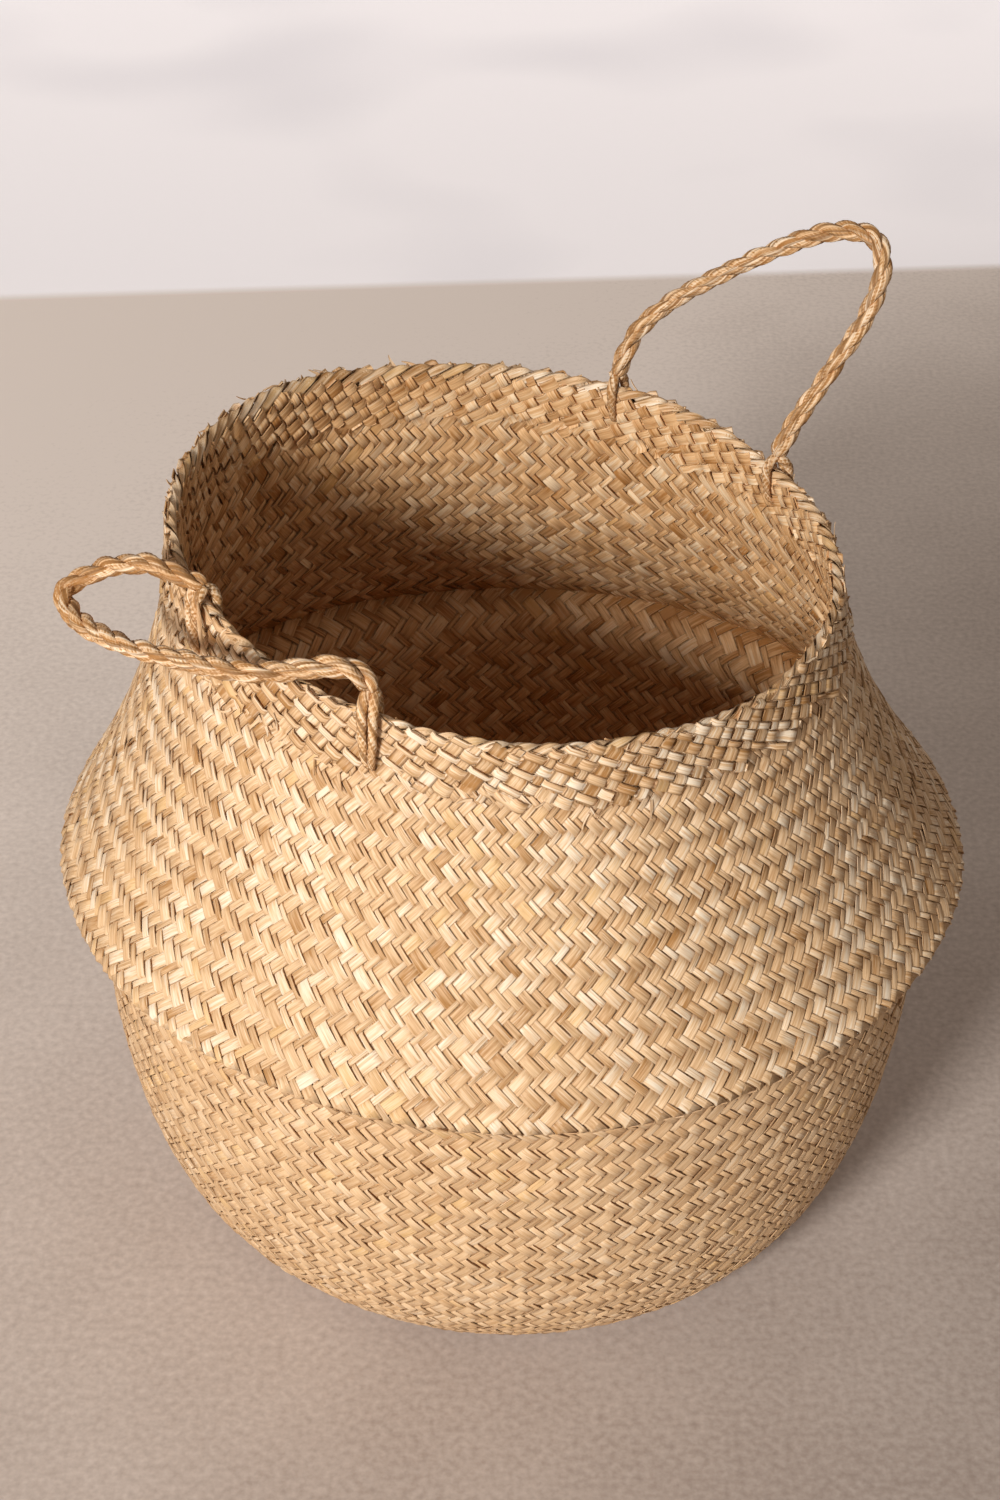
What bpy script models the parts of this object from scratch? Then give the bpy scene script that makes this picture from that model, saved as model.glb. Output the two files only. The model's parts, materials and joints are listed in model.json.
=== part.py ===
"""Belly basket of woven seagrass with two twisted rope handles.

Metres, +Z up. The origin is the middle of the base, on the floor. -Y faces the viewer and +X is the
viewer's right. The left handle flops outwards over the front left of the rim and the right handle
stands up at the back right, as the basket was set down.
"""

import math

import bmesh
import bpy
from mathutils import Matrix, Vector

# The woven body, measured to its outside
BELLY_RADIUS = 0.210
BELLY_HEIGHT = 0.197
FOLD_OVERHANG = 0.015
FOLD_DROP = 0.012
BASE_RADIUS = 0.125
NECK_HEIGHT = 0.154
FLARE_HEIGHT = 0.077
RIM_RADIUS = 0.1465
WALL = 0.0025
BASE_THICKNESS = 0.0030

# How the walls curve: exponents of the profile, and the share by which the bowl draws in
NECK_CURVE = 1.65
BOWL_SIDE_CURVE = 2.5
BOWL_FLOOR_CURVE = 2.57
BOWL_TAPER_SHARE = 0.06

# The rim leans: its left side and its back stand higher, and the neck is pushed to the left
RIM_RISE_LEFT = 0.014
RIM_RISE_BACK = 0.005
RIM_SHIFT_LEFT = 0.004

# The turned-back border and the plaited edge
BAND_HEIGHT = 0.030
BAND_THICKNESS = 0.0015
EDGE_RADIUS = 0.0023

# The rope handles and their feet, which are loops of strand round the rim and through the wall
ROPE_RADIUS = 0.0042
STRAND_RADIUS = 0.0023
FOOT_DEPTH = 0.022
FOOT_BEND = 0.003
HOLE_CLEARANCE = 0.0005
HANDLE_LENGTH = 0.110
RIGHT_HANDLE_TURN = math.radians(49.75)
RIGHT_HANDLE_SPREAD = 0.0958
RIGHT_HANDLE_LEAN = math.radians(30)
LEFT_HANDLE_TURN = math.radians(229.9)
LEFT_HANDLE_SPREAD = 0.0941

# The loose end of strand that hangs down the outside by the left handle's back foot
LOOSE_RADIUS = 0.0012
LOOSE_DROP = 0.019
LOOSE_SIDE = 0.013
LOOSE_BELLY = 0.002

# The weave's relief on the bowl and the flare: zigzag ridges, two columns of faces apart
WEAVE_RELIEF = 0.0011

# Touching pieces keep this gap, points nearer than the weld are one, and cutters run past what they
# cut by the overrun
GAP = 0.0003
WELD = 0.00003
OVERRUN = 0.004

# How finely round shapes are divided
AROUND = 88
BOWL_STEPS = 13
FLARE_STEPS = 6
NECK_STEPS = 4
BAND_STEPS = 2
EDGE_SIDES = 8
HOLE_SIDES = 16
BEND_STEPS = 3
ROUTE_SUBSTEPS = 12
ROPE_STEPS = 34
LOOSE_STEPS = 7

# A rope's rounded end: how far along the radius each of its rings lies
END_RING_SHARES = (0.50, 0.85, 0.98)

# The right handle's loop in its own plane: along the line of its feet as a share of half their
# spread, and up its plane as a share of the reach
RIGHT_ROUTE_SHARES = (
    (-1.000, 0.000),
    (-1.000, 0.100),
    (-0.950, 0.240),
    (-0.740, 0.400),
    (-0.440, 0.550),
    (-0.130, 0.690),
    (0.170, 0.810),
    (0.480, 0.920),
    (0.780, 0.975),
    (0.980, 0.975),
    (1.130, 0.920),
    (1.215, 0.830),
    (1.235, 0.730),
    (1.215, 0.600),
    (1.160, 0.460),
    (1.090, 0.310),
    (1.020, 0.160),
    (1.000, 0.000),
)

# The left handle's loop: along the line of its feet as a share of half their spread, then outwards
# and upwards as shares of the reach
LEFT_ROUTE_SHARES = (
    (-1.000, 0.000, 0.000),
    (-1.130, 0.020, 0.008),
    (-1.320, 0.045, 0.016),
    (-1.520, 0.072, 0.020),
    (-1.700, 0.100, -0.010),
    (-1.880, 0.125, -0.046),
    (-2.040, 0.160, -0.100),
    (-2.150, 0.205, -0.142),
    (-2.170, 0.245, -0.170),
    (-2.050, 0.285, -0.184),
    (-1.820, 0.325, -0.176),
    (-1.500, 0.355, -0.150),
    (-1.180, 0.364, -0.118),
    (-0.850, 0.360, -0.085),
    (-0.500, 0.345, -0.042),
    (-0.180, 0.315, -0.014),
    (0.100, 0.275, 0.008),
    (0.300, 0.225, 0.026),
    (0.500, 0.165, 0.056),
    (0.680, 0.110, 0.084),
    (0.820, 0.065, 0.086),
    (0.930, 0.025, 0.055),
    (1.000, 0.000, 0.000),
)

# Colours as linear red, green and blue, then roughness
FINISHES = {
    "base_mat": ((0.43, 0.27, 0.13), 0.75),
    "bowl_wall": ((0.50, 0.32, 0.16), 0.70),
    "belly_fold": ((0.47, 0.30, 0.15), 0.70),
    "belly_flare": ((0.56, 0.38, 0.21), 0.65),
    "neck_wall": ((0.54, 0.36, 0.19), 0.65),
    "rim_band": ((0.57, 0.40, 0.22), 0.65),
    "rim_edge": ((0.50, 0.34, 0.18), 0.70),
    "handle_rope": ((0.48, 0.31, 0.15), 0.75),
    "handle_foot": ((0.44, 0.28, 0.13), 0.75),
    "loose_strand": ((0.55, 0.37, 0.18), 0.70),
}

RIM_TOP = BELLY_HEIGHT + NECK_HEIGHT


def start():
    """Empties the scene and makes the collections for the basket and for the cutters."""
    for old in list(bpy.data.objects):
        bpy.data.objects.remove(old, do_unlink=True)
    for name in ("belly_basket", "cutters"):
        found = bpy.data.collections.get(name) or bpy.data.collections.new(name)
        if name not in bpy.context.scene.collection.children:
            bpy.context.scene.collection.children.link(found)


def finish_of(name):
    """The Principled material of one of the named finishes."""
    colour, roughness = FINISHES[name]
    material = bpy.data.materials.get(name) or bpy.data.materials.new(name)
    material.use_nodes = True
    shader = material.node_tree.nodes["Principled BSDF"]
    shader.inputs["Base Color"].default_value = (*colour, 1.0)
    shader.inputs["Roughness"].default_value = roughness
    shader.inputs["Metallic"].default_value = 0.0
    return material


def add(name, data, finish, collection="belly_basket"):
    """Links data as an object of that name, with its finish."""
    piece = bpy.data.objects.new(name, data)
    bpy.data.collections[collection].objects.link(piece)
    if finish:
        data.materials.clear()
        data.materials.append(finish_of(finish))
    return piece


# Profiles of the woven body


def neck_radius(z):
    """Outside radius of the upper wall, from the belly's fold to the rim."""
    up = min(max((z - BELLY_HEIGHT) / NECK_HEIGHT, 0.0), 1.0)
    return RIM_RADIUS + (BELLY_RADIUS - RIM_RADIUS) * (1 - up) ** NECK_CURVE


def neck_inside(z):
    """Inside radius of the upper wall: the wall's thickness is measured square to its slope."""
    slope = (neck_radius(z - WALL / 2) - neck_radius(z + WALL / 2)) / WALL
    return neck_radius(z) - WALL * math.sqrt(1 + slope**2)


def bowl_outline(turn):
    """Outside of the bowl, from under the fold at turn 0 to the edge of the flat base at 90 degrees."""
    down = math.sin(turn) ** (2 / BOWL_SIDE_CURVE)
    out = max(math.cos(turn), 0.0) ** (2 / BOWL_FLOOR_CURVE)
    waist = BELLY_RADIUS - FOLD_OVERHANG
    radius = BASE_RADIUS + (waist - BASE_RADIUS) * out * (1 - BOWL_TAPER_SHARE * down)
    return radius, (BELLY_HEIGHT - FOLD_DROP) * (1 - down)


def leaned(point):
    """Where a point of the turned upper wall goes when the rim leans and shifts."""
    up = min(max((point.z - BELLY_HEIGHT) / NECK_HEIGHT, 0.0), 1.0)
    lift = (RIM_RISE_BACK * point.y - RIM_RISE_LEFT * point.x) / RIM_RADIUS
    return Vector((point.x - RIM_SHIFT_LEFT * up, point.y, point.z + lift * up))


# Turned pieces


def turned(name, outline, finish, relief=False, lean=False):
    """A closed outline of (radius, height) turned about the basket's axis. It is listed clockwise,
    with its outer side from top to bottom, so that the faces point out."""
    mesh = bpy.data.meshes.new(name)
    count = len(outline)
    edges = [(i, (i + 1) % count) for i in range(count)]
    mesh.from_pydata([(r, 0.0, z) for r, z in outline], edges, [])
    piece = add(name, mesh, finish)
    screw = piece.modifiers.new("turn", "SCREW")
    screw.steps = screw.render_steps = AROUND
    screw.use_merge_vertices = True
    screw.merge_threshold = WELD
    screw.use_smooth_shade = True
    evaluated = piece.evaluated_get(bpy.context.evaluated_depsgraph_get())
    solid = bpy.data.meshes.new_from_object(evaluated)
    piece.modifiers.clear()
    piece.data = solid
    bpy.data.meshes.remove(mesh)
    solid.name = name
    if relief:
        raise_weave(solid, outline)
    if lean:
        for vertex in solid.vertices:
            vertex.co = leaned(vertex.co)
    return piece


def raise_weave(solid, outline):
    """Gives a turned wall the weave's zigzag ridges. Points are high and low by turns, round the wall
    and down it, and each face is split from high to high or from low to low, down to one side in one
    row and to the other in the next. The whole wall moves, so its thickness stays, and its two ends
    keep their places."""
    shape = bmesh.new()
    shape.from_mesh(solid)
    last = len(outline) // 2 - 1
    spots = {}
    for vertex in shape.verts:
        here = Vector((math.hypot(vertex.co.x, vertex.co.y), vertex.co.z))
        nearest = min(range(len(outline)), key=lambda i: (Vector(outline[i]) - here).length)
        row = min(nearest, len(outline) - 1 - nearest)
        column = round(math.atan2(vertex.co.y, vertex.co.x) / math.tau * AROUND) % AROUND
        spots[vertex] = (row, column)
    for vertex, (row, column) in spots.items():
        if 0 < row < last:
            out = (Vector(outline[row]) - Vector(outline[-1 - row])).normalized()
            move = WEAVE_RELIEF / 2 * (1 if (row + column) % 2 == 0 else -1)
            turn = math.tau * column / AROUND
            vertex.co += Vector((out.x * math.cos(turn), out.x * math.sin(turn), out.y)) * move
    for face in list(shape.faces):
        row = min(spots[vertex][0] for vertex in face.verts)
        for a in face.verts:
            for b in face.verts:
                side = 1 if row % 2 == 0 else -1
                if spots[a][0] == row and spots[b] == (row + 1, (spots[a][1] + side) % AROUND):
                    bmesh.utils.face_split(face, a, b)
                    break
            else:
                continue
            break
    shape.to_mesh(solid)
    shape.free()


def steps(start_value, end_value, count):
    """count + 1 values from start_value to end_value."""
    return [start_value + (end_value - start_value) * i / count for i in range(count + 1)]


def make_base():
    """The flat woven mat that the basket stands on."""
    radius = BASE_RADIUS - GAP
    mesh = bpy.data.meshes.new("base_mat")
    shape = bmesh.new()
    bmesh.ops.create_cone(
        shape,
        cap_ends=True,
        segments=AROUND,
        radius1=radius,
        radius2=radius,
        depth=BASE_THICKNESS,
        matrix=Matrix.Translation((0, 0, BASE_THICKNESS / 2)),
    )
    shape.to_mesh(mesh)
    shape.free()
    add("base_mat", mesh, "base_mat")


def make_bowl():
    """The lower wall: its outside follows the outline, and its inside lies a wall's thickness in."""
    turns = steps(0.0, math.pi / 2, BOWL_STEPS)
    outside = [bowl_outline(turn) for turn in turns]
    inside = []
    for i, (radius, height) in enumerate(outside):
        before, after = outside[max(i - 1, 0)], outside[min(i + 1, BOWL_STEPS)]
        run = Vector((after[0] - before[0], after[1] - before[1])).normalized()
        if i == 0:
            run = Vector((0.0, -1.0))
        if i == BOWL_STEPS:
            run = Vector((-1.0, 0.0))
        inside.append((radius + run.y * WALL, height - run.x * WALL))
    turned("bowl_wall", outside + inside[::-1], "bowl_wall", relief=True)


def make_fold():
    """The underside of the belly: it returns from the fold to the top of the bowl."""
    top, bottom = BELLY_HEIGHT - GAP / 2, BELLY_HEIGHT - FOLD_DROP + GAP
    waist = BELLY_RADIUS - FOLD_OVERHANG
    thick = WALL * math.hypot(FOLD_OVERHANG, FOLD_DROP) / FOLD_DROP
    outline = [(BELLY_RADIUS, top), (waist, bottom), (waist - WALL, bottom), (BELLY_RADIUS - thick, top)]
    turned("belly_fold", outline, "belly_fold")


def upper_ring(name, low, high, count, outer, inner, relief=False):
    """A ring of the upper wall between two heights, with its outside and inside radii given."""
    heights = steps(high, low, count)
    outside = [(outer(z), z) for z in heights]
    inside = [(inner(z), z) for z in reversed(heights)]
    turned(name, outside + inside, name, relief, lean=True)


def make_upper_walls():
    """The flare above the fold, the neck over it, the doubled border and the plaited edge."""
    join = BELLY_HEIGHT + FLARE_HEIGHT
    wall_top = RIM_TOP - 2 * EDGE_RADIUS - GAP
    flare_ends = BELLY_HEIGHT + GAP / 2, join - GAP / 2
    upper_ring("belly_flare", *flare_ends, FLARE_STEPS, neck_radius, neck_inside, relief=True)
    upper_ring("neck_wall", join + GAP / 2, wall_top, NECK_STEPS, neck_radius, neck_inside)
    upper_ring("rim_band", RIM_TOP - BAND_HEIGHT, wall_top, BAND_STEPS, band_outside, band_inside)
    outline = []
    for i in range(EDGE_SIDES):
        turn = math.tau * i / EDGE_SIDES
        height = RIM_TOP - EDGE_RADIUS - EDGE_RADIUS * math.sin(turn)
        outline.append((rim_middle() + EDGE_RADIUS * math.cos(turn), height))
    turned("rim_edge", outline, "rim_edge", lean=True)


def band_inside(z):
    """Inside radius of the doubled border."""
    return neck_radius(z) + GAP


def band_outside(z):
    """Outside radius of the doubled border."""
    return neck_radius(z) + GAP + BAND_THICKNESS


def rim_middle():
    """Radius of the middle of the wall's thickness at the rim."""
    return RIM_RADIUS - WALL / 2


# Rope handles


def left_feet():
    """Where the left handle's back and front feet lie round the rim, as angles from +X."""
    half = math.asin(LEFT_HANDLE_SPREAD / 2 / rim_middle())
    return LEFT_HANDLE_TURN - half, LEFT_HANDLE_TURN + half


def right_feet():
    """Where the right handle's back and front feet lie round the rim, as angles from +X."""
    half = math.asin(RIGHT_HANDLE_SPREAD / 2 / rim_middle())
    return RIGHT_HANDLE_TURN + half, RIGHT_HANDLE_TURN - half


def by_rim(angle, out, up):
    """A point near the rim, leaned with it: how far out of the wall's middle and above the rim's top
    it is, at an angle round the rim."""
    radius = rim_middle() + out
    return leaned(Vector((radius * math.cos(angle), radius * math.sin(angle), RIM_TOP + up)))


def hinge_point(angle):
    """The middle of the rope's rounded end, which rests on the foot's top."""
    return by_rim(angle, 0.0, GAP + 2 * STRAND_RADIUS + GAP + ROPE_RADIUS)


def rounded(corners, bend):
    """A closed path through corners, each rounded to the radius bend."""
    points = []
    count = len(corners)
    for i, corner in enumerate(corners):
        before = (corners[i - 1] - corner).normalized()
        after = (corners[(i + 1) % count] - corner).normalized()
        half = before.angle(after) / 2
        centre = corner + (before + after).normalized() * bend / math.sin(half)
        first = corner + before * bend / math.tan(half) - centre
        last = corner + after * bend / math.tan(half) - centre
        for k in range(BEND_STEPS + 1):
            points.append(centre + first.slerp(last, k / BEND_STEPS) * bend)
    return points


def tube(name, points, radius, finish, closed=False, shares=None, resolution=2):
    """A round tube through points, whose radius may change by shares along it."""
    curve = bpy.data.curves.new(name, "CURVE")
    curve.dimensions = "3D"
    curve.twist_mode = "MINIMUM"
    curve.bevel_depth = radius
    curve.bevel_resolution = resolution
    curve.use_fill_caps = not closed
    spline = curve.splines.new("POLY")
    spline.points.add(len(points) - 1)
    for i, point in enumerate(points):
        spline.points[i].co = (*point, 1.0)
        spline.points[i].radius = shares[i] if shares else 1.0
    spline.use_cyclic_u = closed
    return add(name, curve, finish)


def as_mesh(piece):
    """Makes a curve piece a mesh with its caps welded, in the same place."""
    evaluated = piece.evaluated_get(bpy.context.evaluated_depsgraph_get())
    mesh = bpy.data.meshes.new_from_object(evaluated)
    shape = bmesh.new()
    shape.from_mesh(mesh)
    bmesh.ops.remove_doubles(shape, verts=shape.verts, dist=WELD)
    shape.to_mesh(mesh)
    shape.free()
    mesh.shade_smooth()
    name, place, finish = piece.name, piece.matrix_world.copy(), piece.data.materials[0].name
    curve = piece.data
    bpy.data.objects.remove(piece, do_unlink=True)
    bpy.data.curves.remove(curve)
    solid = add(name, mesh, finish)
    solid.matrix_world = place
    return solid


def make_foot(name, angle):
    """A loop of strand over the rim, down both sides of the wall and through it."""
    over = GAP + STRAND_RADIUS
    low = RIM_TOP - FOOT_DEPTH
    middle = rim_middle()
    outer_low = band_outside(low) + over - middle
    outer_top = max(band_outside(RIM_TOP), middle + EDGE_RADIUS) + over - middle
    inner = min(neck_inside(low) - middle, -EDGE_RADIUS) - over
    corners = [(outer_top, over), (outer_low, -FOOT_DEPTH), (inner, -FOOT_DEPTH), (inner, over)]
    path = [by_rim(angle, place.x, place.y) for place in rounded([Vector(c) for c in corners], FOOT_BEND)]
    as_mesh(tube(name, path, STRAND_RADIUS, "handle_foot", closed=True, resolution=1))


def cut_foot_hole(angle, label, walls):
    """A hole for the foot's strand, cut through the neck wall and the border."""
    low = RIM_TOP - FOOT_DEPTH
    inner = by_rim(angle, neck_inside(low) - rim_middle() - OVERRUN, -FOOT_DEPTH)
    outer = by_rim(angle, band_outside(low) - rim_middle() + OVERRUN, -FOOT_DEPTH)
    aim = (outer - inner).to_track_quat("Z", "Y").to_matrix().to_4x4()
    cutter = bpy.data.meshes.new(f"foot_hole_{label}")
    shape = bmesh.new()
    bmesh.ops.create_cone(
        shape,
        cap_ends=True,
        segments=HOLE_SIDES,
        radius1=STRAND_RADIUS + HOLE_CLEARANCE,
        radius2=STRAND_RADIUS + HOLE_CLEARANCE,
        depth=(outer - inner).length,
        matrix=Matrix.Translation((inner + outer) / 2) @ aim,
    )
    shape.to_mesh(cutter)
    shape.free()
    tool = add(cutter.name, cutter, None, "cutters")
    tool.hide_render = True
    tool.display_type = "WIRE"
    for wall in walls:
        cut = bpy.data.objects[wall].modifiers.new(tool.name, "BOOLEAN")
        cut.operation = "DIFFERENCE"
        cut.solver = "EXACT"
        cut.object = tool


def smooth_route(points, count):
    """count + 1 points, evenly spaced along a smooth curve through the given points."""
    ends = [2 * points[0] - points[1], *points, 2 * points[-1] - points[-2]]
    fine = []
    for a, b, c, d in zip(ends, ends[1:], ends[2:], ends[3:]):
        for k in range(ROUTE_SUBSTEPS):
            t = k / ROUTE_SUBSTEPS
            bend = (2 * a - 5 * b + 4 * c - d) * t**2 + (3 * b - a - 3 * c + d) * t**3
            fine.append((2 * b + (c - a) * t + bend) / 2)
    fine.append(points[-1])
    gone = [0.0]
    for a, b in zip(fine, fine[1:]):
        gone.append(gone[-1] + (b - a).length)
    route, i = [], 0
    for k in range(count + 1):
        want = gone[-1] * k / count
        while i < len(fine) - 2 and gone[i + 1] < want:
            i += 1
        route.append(fine[i].lerp(fine[i + 1], (want - gone[i]) / (gone[i + 1] - gone[i])))
    return route


def round_ends(route, radius):
    """Adds a rounded end past each end of the route: its points and their shares of the radius."""
    shares = [1.0] * len(route)
    for end, inward in ((0, 1), (-1, -2)):
        away = (route[end] - route[inward]).normalized()
        tip = route[end].copy()
        for ring in END_RING_SHARES:
            point, share = tip + away * radius * ring, math.sqrt(1 - ring**2)
            if end == 0:
                route.insert(0, point)
                shares.insert(0, share)
            else:
                route.append(point)
                shares.append(share)
    return route, shares


def handle_axes(feet):
    """The middle of the line between a handle's hinge points, half its length, and its along, out and
    up axes."""
    back, front = (hinge_point(angle) for angle in feet)
    middle = (back + front) / 2
    along = (front - back).normalized()
    out = Vector((middle.x, middle.y, 0.0))
    out = (out - along * out.dot(along)).normalized()
    up = out.cross(along)
    return middle, (front - back).length / 2, along, out, up if up.z > 0 else -up


def right_route():
    """The standing handle's loop, which leans out from the rim."""
    middle, half, along, out, up = handle_axes(right_feet())
    rise = up * math.cos(RIGHT_HANDLE_LEAN) + out * math.sin(RIGHT_HANDLE_LEAN)
    return [middle + along * side * half + rise * high * HANDLE_LENGTH for side, high in RIGHT_ROUTE_SHARES]


def left_route():
    """The flopped handle's loop, which lies out over the side of the neck."""
    middle, half, along, out, up = handle_axes(left_feet())
    places = []
    for side, wide, high in LEFT_ROUTE_SHARES:
        places.append(middle + along * side * half + (out * wide + up * high) * HANDLE_LENGTH)
    return places


def make_handle(name, places, feet):
    """One rope, with its origin on the line that it swings about, which is its X axis."""
    middle, _, along, out, _ = handle_axes(feet)
    frame = Matrix.Translation(middle) @ Matrix((along, out, along.cross(out))).transposed().to_4x4()
    route, shares = round_ends(smooth_route(places, ROPE_STEPS), ROPE_RADIUS)
    back = frame.inverted()
    rope = tube(name, [back @ point for point in route], ROPE_RADIUS, "handle_rope", shares=shares)
    rope.matrix_world = frame
    as_mesh(rope)


def make_loose_strand(angle):
    """A loose end that leaves the foot and goes down to the border beside it."""
    radius = LOOSE_RADIUS
    clear = 2 * STRAND_RADIUS + GAP
    places = []
    for i in range(LOOSE_STEPS + 1):
        share = i / LOOSE_STEPS
        drop = LOOSE_DROP * share
        aside = clear + radius + (LOOSE_SIDE - clear) * math.sin(share * math.pi / 2)
        wall = band_outside(RIM_TOP - drop) - rim_middle() + GAP + radius
        out = wall + LOOSE_BELLY * math.sin(share * math.pi)
        places.append(by_rim(angle + aside / rim_middle(), out, GAP - drop))
    as_mesh(tube("loose_strand", places, radius, "loose_strand", resolution=1))


def make_handles():
    """Both ropes, their four feet and the holes that the feet pass through."""
    sides = (("left", left_feet(), left_route()), ("right", right_feet(), right_route()))
    for handle, feet, places in sides:
        for which, angle in zip(("back", "front"), feet):
            make_foot(f"{handle}_handle_{which}_foot", angle)
            cut_foot_hole(angle, f"{handle}_{which}", ("neck_wall", "rim_band"))
        make_handle(f"{handle}_handle_rope", places, feet)
    make_loose_strand(left_feet()[0])


def main():
    start()
    make_base()
    make_bowl()
    make_fold()
    make_upper_walls()
    make_handles()


main()
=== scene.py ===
"""Dresses the belly basket: woven seagrass strips, a plaited rim and twisted rope handles.

Laid out as an add-on and run as a script. Metres, +Z up; the origin is the middle of the base.
"""

import json
import math

import bpy
import numpy as np
from bpy.props import FloatProperty, FloatVectorProperty, IntProperty, PointerProperty
from bpy.types import Operator, Panel, PropertyGroup
from mathutils import Matrix, Vector


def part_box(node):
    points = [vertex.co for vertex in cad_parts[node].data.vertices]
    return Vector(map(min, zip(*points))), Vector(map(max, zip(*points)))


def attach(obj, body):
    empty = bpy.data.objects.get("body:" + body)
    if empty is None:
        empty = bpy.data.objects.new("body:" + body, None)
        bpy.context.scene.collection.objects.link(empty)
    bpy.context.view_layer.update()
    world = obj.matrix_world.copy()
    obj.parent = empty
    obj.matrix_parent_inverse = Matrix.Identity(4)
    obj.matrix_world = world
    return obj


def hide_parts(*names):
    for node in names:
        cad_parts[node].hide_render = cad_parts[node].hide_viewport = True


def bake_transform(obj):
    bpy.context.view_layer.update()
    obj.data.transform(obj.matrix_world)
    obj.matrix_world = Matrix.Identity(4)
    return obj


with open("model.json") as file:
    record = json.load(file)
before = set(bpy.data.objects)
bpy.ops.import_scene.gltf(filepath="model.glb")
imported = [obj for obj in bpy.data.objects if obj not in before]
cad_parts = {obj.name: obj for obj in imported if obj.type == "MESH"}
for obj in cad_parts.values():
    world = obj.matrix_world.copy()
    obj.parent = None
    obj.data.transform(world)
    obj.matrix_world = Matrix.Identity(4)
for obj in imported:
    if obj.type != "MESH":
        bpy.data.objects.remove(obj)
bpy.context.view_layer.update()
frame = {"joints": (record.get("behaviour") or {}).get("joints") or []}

bl_info = {
    "name": "Belly Basket",
    "version": (1, 0, 0),
    "blender": (4, 5, 0),
    "location": "View3D > Sidebar > Basket",
    "description": "Weaves a seagrass belly basket with twisted rope handles",
    "category": "Add Mesh",
}

MM = 0.001

# Where the floor turns pale behind the basket, and how much further back for each metre to the right
PALE_FROM = 1.0
PALE_SLANT = 0.098

# Where the floor starts to curve up into a wall, and the curve's radius
STAGE_BACK = 3.4
STAGE_BEND = 0.5

# How far the stage reaches to each side and to the front, and how high it stands
STAGE_REACH = 6.0
STAGE_HEIGHT = 5.0

# How the walls curve, as exponents
NECK_CURVE = 1.56
BOWL_SIDE_CURVE = 2.5
BOWL_FLOOR_CURVE = 2.57

# How finely the wall's outline is sampled, and how many times it is smoothed
OUTLINE_STEP = 0.4 * MM
OUTLINE_PASSES = 8

# How many strips each one passes over and under
TWILL = 2
PLAIN_WEAVE = 1

# Where strips are sampled on each side of a crossing, in crossings
BESIDE_CROSSING = 0.38

# A flat strip's corners, as its left or right edge and its upper or lower face
CORNERS = ((-1, 1), (1, 1), (1, -1), (-1, -1))

# How far the outer and inner weave stand off the middle of the wall
OUTER_LIFT = 0.50 * MM
INNER_LIFT = -0.95 * MM

# Where the bowl's weave is cut into pieces, outside and inside, as shares of its latitude
BOWL_CUTS = (0.0, 0.36, 0.70, 1.0)
LINING_CUTS = (0.0, 0.5, 1.0)

# How far below the rim the neck's weave ends, under the edge's wraps
NECK_ENDS_BELOW = 5 * MM

# Painted shade: how much darker the lining is painted along the crease, where the fold is in shade, and
# how far that reaches, as a latitude
CREASE_PAINTED_SHADE = 0.75
CREASE_PAINTED_SHADE_REACH = 0.05

# The border's strips: how far round and up they lie from each other, in radians, and how uneven they are
BORDER_TURN = 0.0180
BORDER_CLIMB = 0.0224
BORDER_UNEVENNESS = 0.13

# The rope's strands: how far they lie from its middle and how thick they are, as shares of its radius,
# the share of the left rope from its back foot that is darker, and how much darker that is
STRAND_PLACE = 0.52
STRAND_THICKNESS = 0.55
LEFT_DARKER_SHARE = 0.34
NO_DARKER_SHARE = -1.0
DARKER_BY = 0.30

# How far apart points lie along a rope, a foot's strand and the loose strip
ROPE_STEP = 1.1 * MM
FOOT_STEP = 0.8 * MM
LOOSE_STEP = 1.5 * MM

# How far above the rim a rope ends, and where the rim's waves die out over it
ROPE_ENDS_ABOVE = 9.4 * MM
WAVES_REACH = 9 * MM

# A foot strand's thickness along it: shares of its length, then millimetres from its middle
FOOT_THICKNESS_MM = ((0, 0.12, 0.6, 1), (1.9, 2.25, 1.9, 1.1))

# The loose strip by the left handle: millimetres out of the wall, above the rim and aside
LOOSE_STRIP_MM = (
    (1.5, 8.0, 1.0), (5.4, 3.5, 3.5), (6.2, -3.0, 6.0), (7.6, -10.0, 8.6), (7.4, -16.0, 11.0),
    (5.0, -20.5, 12.6),
)

# Its width along it: shares of its length, then millimetres
LOOSE_WIDTH_MM = ((0, 0.3, 0.8, 1), (2.2, 3.6, 3.0, 1.6))

# How many split ends stand off the border and the rim
FRAYED_ENDS = 84

# The lamps: place, size and power. Then what they face, and the light from all round
KEY_LAMP = ((-1.30, -2.45, 1.50), 0.6, 96)
FILL_LAMP = ((1.2, -1.8, 1.2), 1.4, 3)
LAMPS_FACE = (0, 0, 0.2)
WORLD_COLOUR = (1.0, 0.87, 0.75, 1.0)
WORLD_STRENGTH = 0.21

# The photograph's camera: how far down it looks, how far it is rolled, and how far it stands from
# the point that it looks at
CAMERA_DOWN = math.radians(35.9)
CAMERA_ROLL = math.radians(0.66)
CAMERA_DISTANCE = 1.170
CAMERA_FACES = Vector((-0.0059, 0.0, 0.2338))
CAMERA_LENS = 90.0
CAMERA_WIDTH = 36.0

# Each wave of the wall out of round: how many swells, its share of the radius, and its turn. Then the
# waves of the rim up and down, in millimetres
OUT_OF_ROUND_SHARES = ((2, 0.006, 0.2), (3, 0.004, 4.71), (5, 0.003, 1.0), (11, 0.0012, 2.0))
RIM_WAVES_MM = (
    (0, 1.4, 0.0), (1, 3.6, -1.85), (2, 1.6, 0.0), (5, 0.7, 0.3), (9, 0.5, 4.2), (23, 0.25, 0.9),
)

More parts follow.
